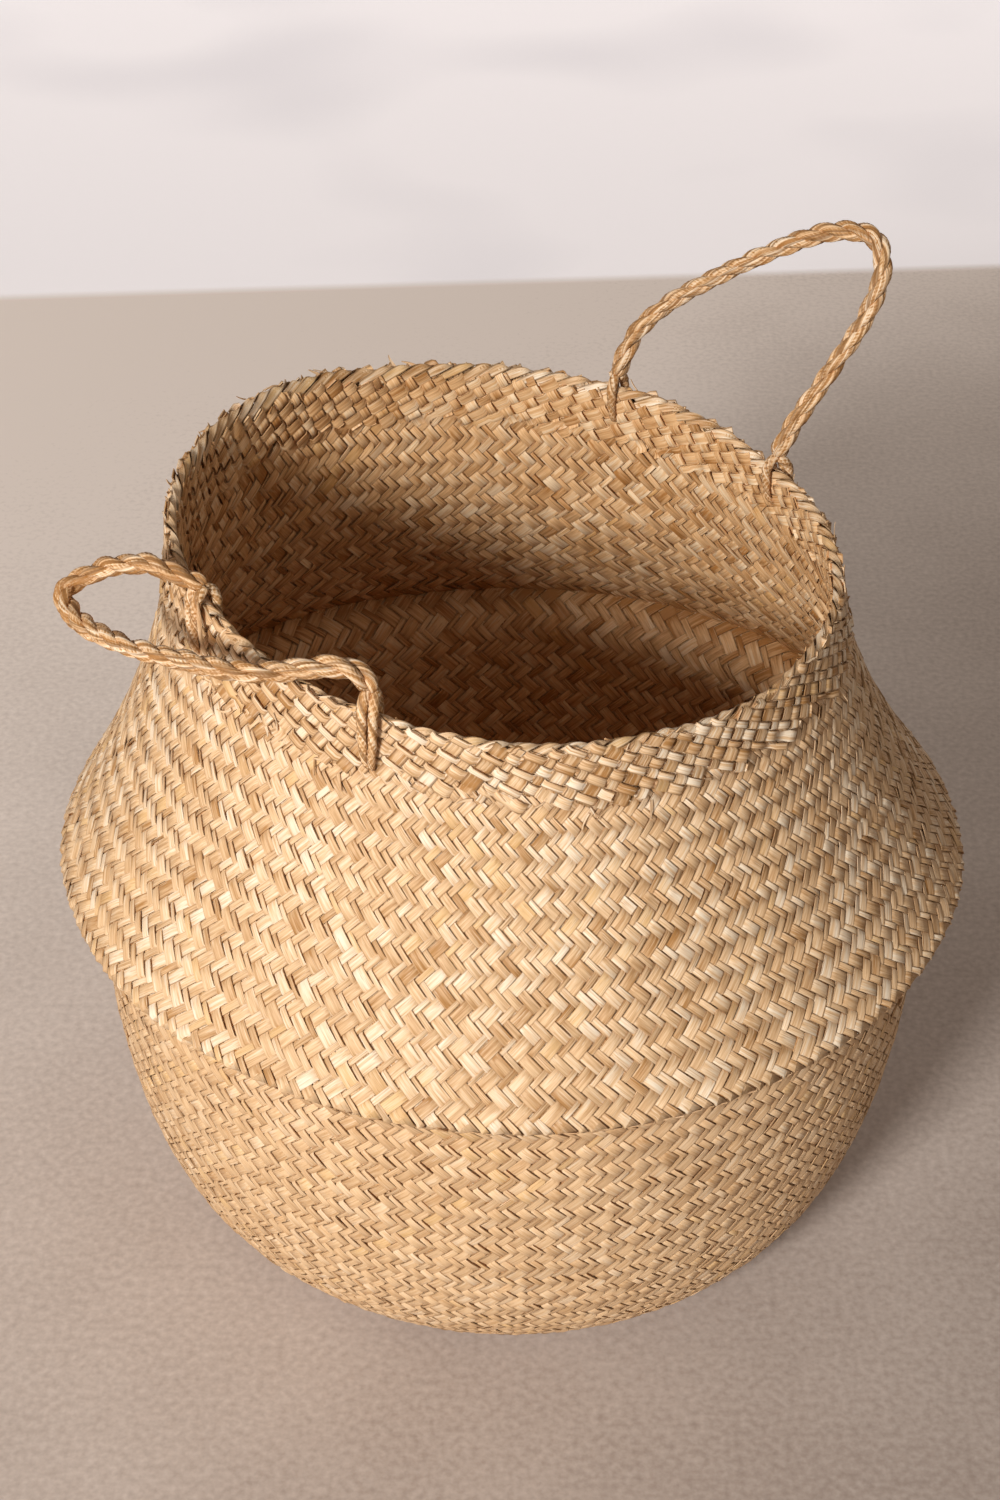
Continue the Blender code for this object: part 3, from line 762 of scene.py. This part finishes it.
def rope_of_strands(name, route, shape, weave, seed, darker_share):
    """Three strands laid together to the right, drawn in at both ends. Its last argument is the share of
    the rope, from its back foot, that is coloured darker."""
    _, first, second = frames_along(route)
    gone = gone_along(route)
    left = np.minimum(gone, gone[-1] - gone)
    drawn = np.sqrt(np.clip(left / (0.8 * shape.rope_radius), 0.0, 1.0)) * 0.75 + 0.25
    core = shape.rope_radius * STRAND_PLACE * drawn
    uneven = 1 + 0.10 * np.sin(gone / 0.023 + seed)
    parts = []
    for k in range(3):
        turn = gone / weave.rope_lay * math.tau + k * math.tau / 3
        turn = turn + 0.25 * np.sin(gone / 0.031 + k + seed)
        aside = first * np.cos(turn)[:, None] + second * np.sin(turn)[:, None]
        path = route + aside * (core * uneven)[:, None]
        thick = shape.rope_radius * STRAND_THICKNESS * (0.45 + 0.55 * drawn)
        rings, fibre, tone, hue = strand(path, thick, seed + k)
        tone = tone - DARKER_BY * np.clip((darker_share - gone / gone[-1]) / 0.12 + 0.5, 0, 1)[:, None]
        parts.append((rings, fibre, tone, hue))
    return joined_mesh(name, parts, crisp=False)


def feet_of(shape, side):
    """Where a handle's back and front feet lie round the rim."""
    middle = shape.rim_radius - shape.wall / 2
    if side == "left":
        half = math.asin(shape.left_spread / 2 / middle)
        return shape.left_turn - half, shape.left_turn + half
    half = math.asin(shape.right_spread / 2 / middle)
    return shape.right_turn + half, shape.right_turn - half


def by_rim(shape, angle, out, up):
    """A point near the rim, leaned with it."""
    radius = shape.rim_radius - shape.wall / 2 + out
    x, y = radius * math.cos(angle), radius * math.sin(angle)
    grown = min(max(1 + up / shape.neck_height, 0.0), 1.0)
    lift = (shape.rise_back * y - shape.rise_left * x) / shape.rim_radius
    wave = sum(size * MM * math.cos(count * angle + turn) for count, size, turn in RIM_WAVES_MM)
    lift += wave * min(max(1 - up / WAVES_REACH, 0.0), 1.0)
    height = shape.belly_height + shape.neck_height + up + lift * grown
    return Vector((x - shape.shift_left * grown**1.5, y, height))


def beside_rim(shape, angle, places, mirror=1):
    """Points near an angle of the rim, each given in millimetres outwards, upwards and aside."""
    return [
        by_rim(shape, angle + mirror * aside * MM / shape.rim_radius, out * MM, up * MM)
        for out, up, aside in places
    ]


def handle_route(shape, side):
    """The points of a handle's loop, from its back foot to its front foot."""
    hinge = next(joint for joint in frame["joints"] if joint["name"] == f"{side}_handle_swing")
    middle = Vector(hinge["pos_m"])
    back, front = (by_rim(shape, angle, 0.0, ROPE_ENDS_ABOVE) for angle in feet_of(shape, side))
    along = (front - back).normalized()
    out = Vector((middle.x, middle.y, 0.0))
    out = (out - along * out.dot(along)).normalized()
    up = out.cross(along)
    up = up if up.z > 0 else -up
    half = (front - back).length / 2
    reach = shape.handle_reach
    if side == "left":
        return [middle + along * s * half + (out * o + up * u) * reach for s, o, u in LEFT_ROUTE_SHARES]
    rise = up * math.cos(shape.right_lean) + out * math.sin(shape.right_lean)
    return [middle + along * s * half + rise * h * reach for s, h in RIGHT_ROUTE_SHARES]


def foot_strands(name, shape, angle, seed):
    """The legs of a handle's foot: two outside and one inside, which go into the wall below the rim."""
    parts = []
    for legs, mirror in ((OUTER_LEG_MM, 1), (OUTER_LEG_MM, -1), (INNER_LEG_MM, 1)):
        route = smooth_route(beside_rim(shape, angle, legs, mirror), FOOT_STEP)
        thick = np.interp(np.linspace(0, 1, len(route)), *FOOT_THICKNESS_MM) * MM
        parts.append((route, thick, seed))
        seed += 1
    longest = max(len(route) for route, _, _ in parts)
    grown = []
    for route, thick, number in parts:
        share = np.linspace(0, 1, longest)
        own = np.linspace(0, 1, len(route))
        even = np.stack([np.interp(share, own, route[:, i]) for i in range(3)], axis=1)
        grown.append(strand(even, np.interp(share, own, thick), number, sides=12, leaves=5, lay=0.022))
    return joined_mesh(name, grown, crisp=False)


def ribbon(routes, faces, widths, thickness, seed):
    """Cross-sections of flat strips along routes of equally many points: faces are their flat normals."""
    chance = np.random.default_rng(seed)
    rings, fibres = [], []
    for number, (route, face, width) in enumerate(zip(routes, faces, widths)):
        ahead = np.gradient(route, axis=0)
        across = np.cross(ahead, face)
        across /= np.linalg.norm(across, axis=1)[:, None]
        flat = np.cross(ahead, across)
        flat /= -np.linalg.norm(flat, axis=1)[:, None]
        corner, fibre = [], []
        for side, top in CORNERS:
            corner.append(route + across * -side * width[:, None] / 2 + flat * top * thickness / 2)
            steps = np.arange(len(route)) * 0.5
            fibre.append(stacked(steps, side * 0.5, number * 4.1 + top))
        rings.append(np.stack(corner, axis=1))
        fibres.append(np.stack(fibre, axis=1))
    rings = np.stack(rings)
    tone = chance.beta(3.0, 1.8, (len(rings), 1, 1)) * np.ones(rings.shape[:3])
    return rings, np.stack(fibres), tone, np.zeros(rings.shape[:3])


def frays(name, wall, seed):
    """Short split ends that stand off the border's lower edge and the rim."""
    chance = np.random.default_rng(seed)
    shape = wall.shape
    low = wall.latitude_at(shape.belly_height + shape.neck_height - shape.border_height)
    routes, faces, widths = [], [], []
    share = np.linspace(0, 1, 8)
    for number in range(FRAYED_ENDS):
        angle = chance.uniform(0, math.tau)
        at_rim = number % 3 == 0
        if at_rim:
            start = wall.latitude[-1] - chance.uniform(0, 0.03)
        else:
            start = low + chance.uniform(-0.012, 0.02)
        long = chance.uniform(4, 10) * MM / shape.rim_radius
        heading = chance.uniform(0.04, 0.22) * math.pi if at_rim else chance.uniform(0, math.tau)
        curl = chance.uniform(-0.9, 0.9)
        way = heading + curl * share
        turns = angle + long * np.cumsum(np.cos(way)) / len(share)
        climbs = start + long * np.cumsum(np.sin(way)) / len(share)
        lift = shape.wall / 2 + 1.1 * MM + chance.uniform(0.2, 2.2) * MM * share**1.5
        routes.append(wall.place(turns, climbs, lift))
        faces.append(np.array([math.cos(angle), math.sin(angle), 0.3]) + chance.normal(0, 0.25, 3))
        widths.append(chance.uniform(0.6, 1.7) * MM * (1 - 0.75 * share**2))
    return ring_mesh(name, *ribbon(routes, faces, widths, 0.3 * MM, seed))


# Finishes


class Socket:
    """A number in a material, on which Python's operators add Math nodes."""

    def __init__(self, finish, end):
        self.finish, self.end = finish, end

    def maths(self, operation, *values, clamp=False):
        settings = {"operation": operation, "use_clamp": clamp}
        return self.finish.node("ShaderNodeMath", settings, dict(enumerate(values)))

    def __add__(self, other):
        return self.maths("ADD", self, other)

    def __sub__(self, other):
        return self.maths("SUBTRACT", self, other)

    def __rsub__(self, other):
        return self.maths("SUBTRACT", other, self)

    def __mul__(self, other):
        return self.maths("MULTIPLY", self, other)

    def __abs__(self):
        return self.maths("ABSOLUTE", self)

    def clamped(self):
        return self.maths("ADD", self, 0.0, clamp=True)

    __radd__ = __add__
    __rmul__ = __mul__


class Finish:
    """A material and its nodes."""

    def __init__(self, name):
        self.material = bpy.data.materials.new(name)
        self.material.use_nodes = True
        self.tree = self.material.node_tree
        self.shader = self.tree.nodes["Principled BSDF"]

    def node(self, kind, settings=None, values=None, out=0):
        """Adds a node, sets it, then its sockets by name or number, and returns one of its outputs."""
        made = self.tree.nodes.new(kind)
        for key, value in (settings or {}).items():
            if key == "stops":
                for place, colour in value[len(made.color_ramp.elements) :]:
                    made.color_ramp.elements.new(place)
                for stop, (place, colour) in zip(made.color_ramp.elements, value):
                    stop.position = place
                    stop.color = (*colour, 1.0)
            else:
                setattr(made, key, value)
        for key, value in (values or {}).items():
            self.put(made.inputs[key], value)
        return Socket(self, made.outputs[out])

    def put(self, socket, value):
        """Links a value to a socket, or sets it there."""
        if isinstance(value, Socket):
            self.tree.links.new(value.end, socket)
        else:
            socket.default_value = value

    def parts_of(self, vector):
        """The three numbers of a vector."""
        split = self.node("ShaderNodeSeparateXYZ", values={0: vector}).end.node
        return [Socket(self, part) for part in split.outputs]

    def vector(self, numbers):
        """A vector of three numbers."""
        return self.node("ShaderNodeCombineXYZ", values=dict(enumerate(numbers)))

    def noise(self, place, detail, scale=1.0):
        """A cloudy pattern at a place, given as a vector or as its three numbers."""
        place = place if isinstance(place, Socket) else self.vector(place)
        values = {"Vector": place, "Scale": scale, "Detail": detail}
        return self.node("ShaderNodeTexNoise", values=values)

    def mix(self, share, first, second, blend="MIX"):
        """A colour between two."""
        settings = {"data_type": "RGBA", "blend_type": blend}
        values = {"Factor": share, 6: paint(first), 7: paint(second)}
        return self.node("ShaderNodeMix", settings, values, out=2)

    def wear(self, **values):
        """Puts values on the shader's own sockets."""
        for key, value in values.items():
            self.put(self.shader.inputs[key.replace("_", " ")], value)
        return self.material


def paint(colour):
    """A colour as four numbers, or a socket as it is."""
    return colour if isinstance(colour, Socket) else (*colour[:3], 1.0)


def seagrass(name, darker=0.0, gloss=0.5, streaks=4.2, crown=1.6, contrast=1.0, painted_gap_shade=1.0, tint=None):
    """Dried grass: long fibres, a tone for each strip, and painted shade along the strips' long edges,
    where the gaps between them lie.
    """
    colours = bpy.context.scene.basket_colours
    finish = Finish(name)
    fibre = finish.node("ShaderNodeAttribute", {"attribute_name": "fibre"}, out=1)
    tone = finish.node("ShaderNodeAttribute", {"attribute_name": "tone"}, out=2)
    hue = finish.node("ShaderNodeAttribute", {"attribute_name": "hue"}, out=2)
    along, across, strip = finish.parts_of(fibre)
    grain = finish.noise((along * 0.30, across * streaks, strip * 1.9), detail=3.0)
    fine = finish.noise((along * 0.5, across * streaks * 2.4, strip * 3.1), detail=2.0)
    patch = finish.noise((along * 0.22, across * 0.7, strip * 5.3), detail=2.0)
    mixed = (tone - 0.55) * 0.66 + (grain - 0.5) * 1.5 + (patch - 0.5) * 0.7
    mixed = mixed * contrast + 0.54 - darker
    tan = between(colours.brown, colours.straw, 0.62)
    stops = ((0.0, colours.brown), (0.34, tan), (0.62, colours.straw), (1.0, colours.pale))
    colour = finish.node("ShaderNodeValToRGB", {"stops": stops}, {0: mixed.clamped()})
    colour = finish.mix((hue * 0.6).clamped(), colour, finish.mix(grain, colours.honey, colours.straw))
    colour = finish.mix(((fine - 0.57) * 9.0).clamped() * 0.5, colour, colours.brown)
    colour = finish.mix(((0.42 - fine) * 9.0).clamped() * 0.4, colour, colours.pale)
    # Painted shade: the long edges are darkened in broken lines, as the gaps between strips are in shade
    gap_shade_noise = finish.noise((along * 0.33, across * 1.2, strip * 2.3), detail=1.0)
    edge = ((abs(across) - 0.5 + 0.07 * painted_gap_shade) * 14.0).clamped()
    edge = edge * ((gap_shade_noise - 0.48 + 0.06 * painted_gap_shade) * 6.0).clamped()
    colour = finish.mix(edge * 0.78, colour, between(colours.brown, (0, 0, 0), 0.45))
    # A tint multiplies the colour; the inside grass's tint is painted warm shade
    if tint:
        colour = finish.mix(1.0, colour, tint, "MULTIPLY")
    height = grain * 0.5 + fine * 0.5 - across * across * crown
    bump = finish.node("ShaderNodeBump", values={"Height": height, "Strength": 0.6, "Distance": 0.0005})
    finish.shader.inputs["Specular IOR Level"].default_value = 0.42
    return finish.wear(Base_Color=colour, Roughness=0.70 - gloss * 0.25 + grain * 0.12, Normal=bump)


def between(first, second, share):
    """A colour a share of the way from the first to the second."""
    return tuple(a + (b - a) * share for a, b in zip(first, second))


# Operators


class BasketOperator:
    """What the basket's operators share."""

    bl_options = {"REGISTER", "UNDO"}

    def settings(self, context):
        """The basket's shape, its weave and its wall."""
        shape, weave = context.scene.basket_shape, context.scene.basket_weave
        return shape, weave, Wall(shape, weave.steepness)


class BASKET_OT_base(BasketOperator, Operator):
    """Weaves the flat base"""

    bl_idname = "basket.base"
    bl_label = "Base"

    def execute(self, context):
        shape, weave, _ = self.settings(context)
        lowest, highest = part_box("base_mat")
        height = (lowest[2] + highest[2]) / 2 + 0.1 * MM
        mesh = flat_twill("base_weave", weave, shape.base_radius + 3 * MM, height, 11)
        piece(mesh, "inside_grass_painted_shade", "bowl", "base_mat")
        return {"FINISHED"}


class BASKET_OT_bowl(BasketOperator, Operator):
    """Weaves the bowl and the underside of the belly"""

    bl_idname = "basket.bowl"
    bl_label = "Bowl"

    def execute(self, context):
        shape, weave, wall = self.settings(context)
        waist = wall.latitude_at(shape.belly_height - shape.crease_sag - shape.fold_drop)
        layers = (("weave", 1, "bowl_grass", BOWL_CUTS), ("lining", -1, "inside_grass_painted_shade", LINING_CUTS))
        for name, side, look, cuts in layers:
            for number, (low, high) in enumerate(zip(cuts, cuts[1:])):
                mesh = woven(f"bowl_{name}_{number}", wall, weave, low * waist, high * waist, side)
                piece(mesh, look, "bowl", "bowl_wall")
        for name, side, look, _ in layers:
            mesh = woven(f"fold_{name}", wall, weave, waist, wall.crease(), side)
            piece(mesh, look, "bowl", "belly_fold")
        return {"FINISHED"}


class BASKET_OT_neck(BasketOperator, Operator):
    """Weaves the flare above the crease and the neck over it"""

    bl_idname = "basket.neck"
    bl_label = "Neck"

    def execute(self, context):
        shape, weave, wall = self.settings(context)
        join = wall.latitude_at(shape.belly_height + shape.flare_height)
        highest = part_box("belly_flare")[1][2] - 2 * shape.rise_left
        folded = ("bowl", "neck", (0, 0, shape.belly_height), (0, 0, highest))
        top = wall.latitude[-1] - NECK_ENDS_BELOW / shape.rim_radius
        flare = ("flare", wall.crease(), join, folded, "belly_flare")
        for band, low, high, body, node in (flare, ("neck", join, top, "neck", "neck_wall")):
            for name, side, look in (("weave", 1, "outside_grass"), ("lining", -1, "inside_grass_painted_shade")):
                piece(woven(f"{band}_{name}", wall, weave, low, high, side), look, body, node)
        return {"FINISHED"}


class BASKET_OT_rim(BasketOperator, Operator):
    """Weaves the doubled border and plaits the edge"""

    bl_idname = "basket.rim"
    bl_label = "Rim"

    def execute(self, context):
        _, weave, wall = self.settings(context)
        piece(border("border_weave", wall, weave, 42, 1), "border_grass", "neck", "rim_band")
        piece(border("border_lining", wall, weave, 40, -1), "inside_grass_painted_shade", "neck", "neck_wall")
        piece(edge_wraps("edge_plait", wall, weave, 51), "border_grass", "neck", "rim_edge")
        return {"FINISHED"}


class BASKET_OT_handles(BasketOperator, Operator):
    """Lays the two rope handles"""

    bl_idname = "basket.handles"
    bl_label = "Rope handles"

    def execute(self, context):
        shape, weave, _ = self.settings(context)
        for side, seed, darker_share in (("left", 61, LEFT_DARKER_SHARE), ("right", 71, NO_DARKER_SHARE)):
            route = smooth_route(handle_route(shape, side), ROPE_STEP)
            mesh = rope_of_strands(f"{side}_rope", route, shape, weave, seed, darker_share)
            piece(mesh, "rope_grass", f"{side}_handle", f"{side}_handle_rope")
        return {"FINISHED"}


class BASKET_OT_feet(BasketOperator, Operator):
    """Ties the handles' ends through the wall"""

    bl_idname = "basket.feet"
    bl_label = "Handle feet"

    def execute(self, context):
        shape = context.scene.basket_shape
        seed = 80
        for side in ("left", "right"):
            for which, angle in zip(("back", "front"), feet_of(shape, side)):
                mesh = foot_strands(f"{side}_{which}_foot_strands", shape, angle, seed)
                piece(mesh, "rope_grass", "neck", f"{side}_handle_{which}_foot")
                seed += 5
        return {"FINISHED"}


class BASKET_OT_loose_ends(BasketOperator, Operator):
    """Adds the loose strand by the left handle and the frayed ends at the border"""

    bl_idname = "basket.loose_ends"
    bl_label = "Loose ends"

    def execute(self, context):
        shape, _, wall = self.settings(context)
        angle = feet_of(shape, "left")[0]
        route = smooth_route(beside_rim(shape, angle, LOOSE_STRIP_MM), LOOSE_STEP)
        out = np.array(Vector((math.cos(angle), math.sin(angle), 0.15)))
        width = np.interp(np.linspace(0, 1, len(route)), *LOOSE_WIDTH_MM) * MM
        mesh = ring_mesh("loose_strip", *ribbon([route], [out], [width], 0.6 * MM, 95))
        piece(mesh, "outside_grass", "neck", "loose_strand")
        piece(frays("frayed_ends", wall, 97), "outside_grass", "neck")
        return {"FINISHED"}


class BASKET_OT_stage(BasketOperator, Operator):
    """Sets the floor, the backdrop, the lights and the camera"""

    bl_idname = "basket.stage"
    bl_label = "Stage"

    def execute(self, context):
        colours = context.scene.basket_colours
        bpy.ops.object.select_all(action="DESELECT")
        sweep_stage(stage_finish("stage_finish", colours))
        lamp("key_light", *KEY_LAMP)
        lamp("fill_light", *FILL_LAMP)
        world = context.scene.world or bpy.data.worlds.new("world")
        context.scene.world = world
        world.use_nodes = True
        light = world.node_tree.nodes["Background"].inputs
        light["Color"].default_value = WORLD_COLOUR
        light["Strength"].default_value = WORLD_STRENGTH
        set_camera(context.scene)
        context.scene.view_settings.view_transform = "Standard"
        return {"FINISHED"}


def sweep_stage(finish):
    """A floor that curves up into a backdrop behind the basket."""
    places = [(-STAGE_REACH, 0.0), (STAGE_BACK, 0.0)]
    for i in range(1, 25):
        turn = math.pi / 2 * i / 24
        places.append((STAGE_BACK + STAGE_BEND * math.sin(turn), STAGE_BEND * (1 - math.cos(turn))))
    places.append((STAGE_BACK + STAGE_BEND, STAGE_HEIGHT))
    points = [(x, y, z) for y, z in places for x in (-STAGE_REACH, STAGE_REACH)]
    faces = [(2 * i, 2 * i + 1, 2 * i + 3, 2 * i + 2) for i in range(len(places) - 1)]
    mesh = bpy.data.meshes.new("stage")
    mesh.from_pydata(points, [], faces)
    mesh.shade_smooth()
    mesh.materials.append(finish)
    stage = bpy.data.objects.new("stage", mesh)
    bpy.context.scene.collection.objects.link(stage)
    return stage


def stage_finish(name, colours):
    """A matt floor with faint clouds and specks, and painted light: brighter towards the back and the
    left, darker to the right. It turns into a paler backdrop with painted soft shadows. Both glow a
    little, which only camera, glossy and transmission rays see, so that the background is pale and the
    basket isn't lit."""
    finish = Finish(name)
    place = finish.node("ShaderNodeTexCoord", out=3)
    x, y, _ = finish.parts_of(place)
    cloud = finish.noise(place, detail=6.0, scale=7.0)
    speck = finish.noise(place, detail=2.0, scale=260.0)
    # Painted light: the floor is painted brighter towards the back and the left and darker to the right,
    # besides its clouds and specks
    mottle_and_painted_light = (cloud * 0.5 + speck * 0.7 - 0.16 + y * 0.66 - x * 0.52).clamped()
    dark = between(colours.floor, (0, 0, 0), 0.42)
    light = between(colours.floor, (1.0, 0.94, 0.87), 0.36)
    floor = finish.mix(mottle_and_painted_light, dark, light)
    # Painted shadows: soft darker patches on the pale backdrop
    painted_shadow_noise = finish.noise((x * 1.4 + y * 0.8, 0.0, y * 2.2 - x * 0.9), detail=1.0, scale=1.6)
    shade = ((painted_shadow_noise - 0.5) * 5.0).clamped() * 0.35
    pale = finish.mix(shade, colours.backdrop, between(colours.backdrop, (0.2, 0.2, 0.26), 0.5))
    share = ((y - x * PALE_SLANT - PALE_FROM) * 70.0 + 0.5).clamped()
    ground = finish.mix(share, floor, pale)
    # Painted light: the glow is stronger towards the back and the left, and further back
    near = ((0.11 + y * 0.17 - x * 0.14) * 3.0).clamped() * (1 / 3)
    far = 0.44 + (y - PALE_FROM).clamped() * 0.30
    rays = finish.node("ShaderNodeLightPath").end.node.outputs
    seen, shone, through = (
        Socket(finish, rays[kind]) for kind in ("Is Camera Ray", "Is Glossy Ray", "Is Transmission Ray")
    )
    glow = (near + (far - near) * share) * (seen + shone + through)
    grey = finish.vector((glow, glow, glow))
    finish.shader.inputs["Emission Strength"].default_value = 1.0
    finish.wear(Emission_Color=finish.mix(1.0, ground, grey, "MULTIPLY"))
    return finish.wear(Base_Color=ground, Roughness=0.85)


def lamp(name, place, size, power):
    """A soft square light that faces the basket."""
    light = bpy.data.lights.new(name, "AREA")
    light.size = size
    light.energy = power
    thing = bpy.data.objects.new(name, light)
    thing.location = place
    thing.rotation_euler = (Vector(LAMPS_FACE) - Vector(place)).to_track_quat("-Z", "Y").to_euler()
    bpy.context.scene.collection.objects.link(thing)


def set_camera(scene):
    """The photograph's camera."""
    ahead = Vector((0, math.cos(CAMERA_DOWN), -math.sin(CAMERA_DOWN)))
    level = Vector((1, 0, 0))
    over = level.cross(ahead)
    right = level * math.cos(CAMERA_ROLL) + over * math.sin(CAMERA_ROLL)
    top = over * math.cos(CAMERA_ROLL) - level * math.sin(CAMERA_ROLL)
    camera = bpy.data.objects.new("camera", bpy.data.cameras.new("camera"))
    camera.data.sensor_fit = "HORIZONTAL"
    camera.data.sensor_width = CAMERA_WIDTH
    camera.data.lens = CAMERA_LENS
    turned = Matrix((right, top, -ahead)).transposed().to_4x4()
    camera.matrix_world = Matrix.Translation(CAMERA_FACES - ahead * CAMERA_DISTANCE) @ turned
    scene.collection.objects.link(camera)
    scene.camera = camera


class BASKET_PT_panel(Panel):
    """Lists the basket's operators and sizes"""

    bl_label = "Belly basket"
    bl_idname = "BASKET_PT_panel"
    bl_space_type = "VIEW_3D"
    bl_region_type = "UI"
    bl_category = "Basket"

    def draw(self, context):
        for operator in OPERATORS:
            self.layout.operator(operator.bl_idname)
        scene = context.scene
        for group in (scene.basket_shape, scene.basket_weave, scene.basket_colours):
            for name in group.__annotations__:
                self.layout.prop(group, name)


GROUPS = (BasketShape, BasketWeave, BasketColours)
OPERATORS = (
    BASKET_OT_base,
    BASKET_OT_bowl,
    BASKET_OT_neck,
    BASKET_OT_rim,
    BASKET_OT_handles,
    BASKET_OT_feet,
    BASKET_OT_loose_ends,
    BASKET_OT_stage,
)


def register():
    """Registers the classes and the settings that the scene carries."""
    for each in (*GROUPS, *OPERATORS, BASKET_PT_panel):
        bpy.utils.register_class(each)
    bpy.types.Scene.basket_shape = PointerProperty(type=BasketShape)
    bpy.types.Scene.basket_weave = PointerProperty(type=BasketWeave)
    bpy.types.Scene.basket_colours = PointerProperty(type=BasketColours)


def unregister():
    """Takes the settings and classes away again."""
    del bpy.types.Scene.basket_colours
    del bpy.types.Scene.basket_weave
    del bpy.types.Scene.basket_shape
    for each in (BASKET_PT_panel, *reversed(OPERATORS), *reversed(GROUPS)):
        bpy.utils.unregister_class(each)


def main():
    """Makes the whole basket and sets its stage."""
    register()
    bpy.ops.basket.base()
    bpy.ops.basket.bowl()
    bpy.ops.basket.neck()
    bpy.ops.basket.rim()
    bpy.ops.basket.handles()
    bpy.ops.basket.feet()
    bpy.ops.basket.loose_ends()
    bpy.ops.basket.stage()


if __name__ == "__main__":
    main()
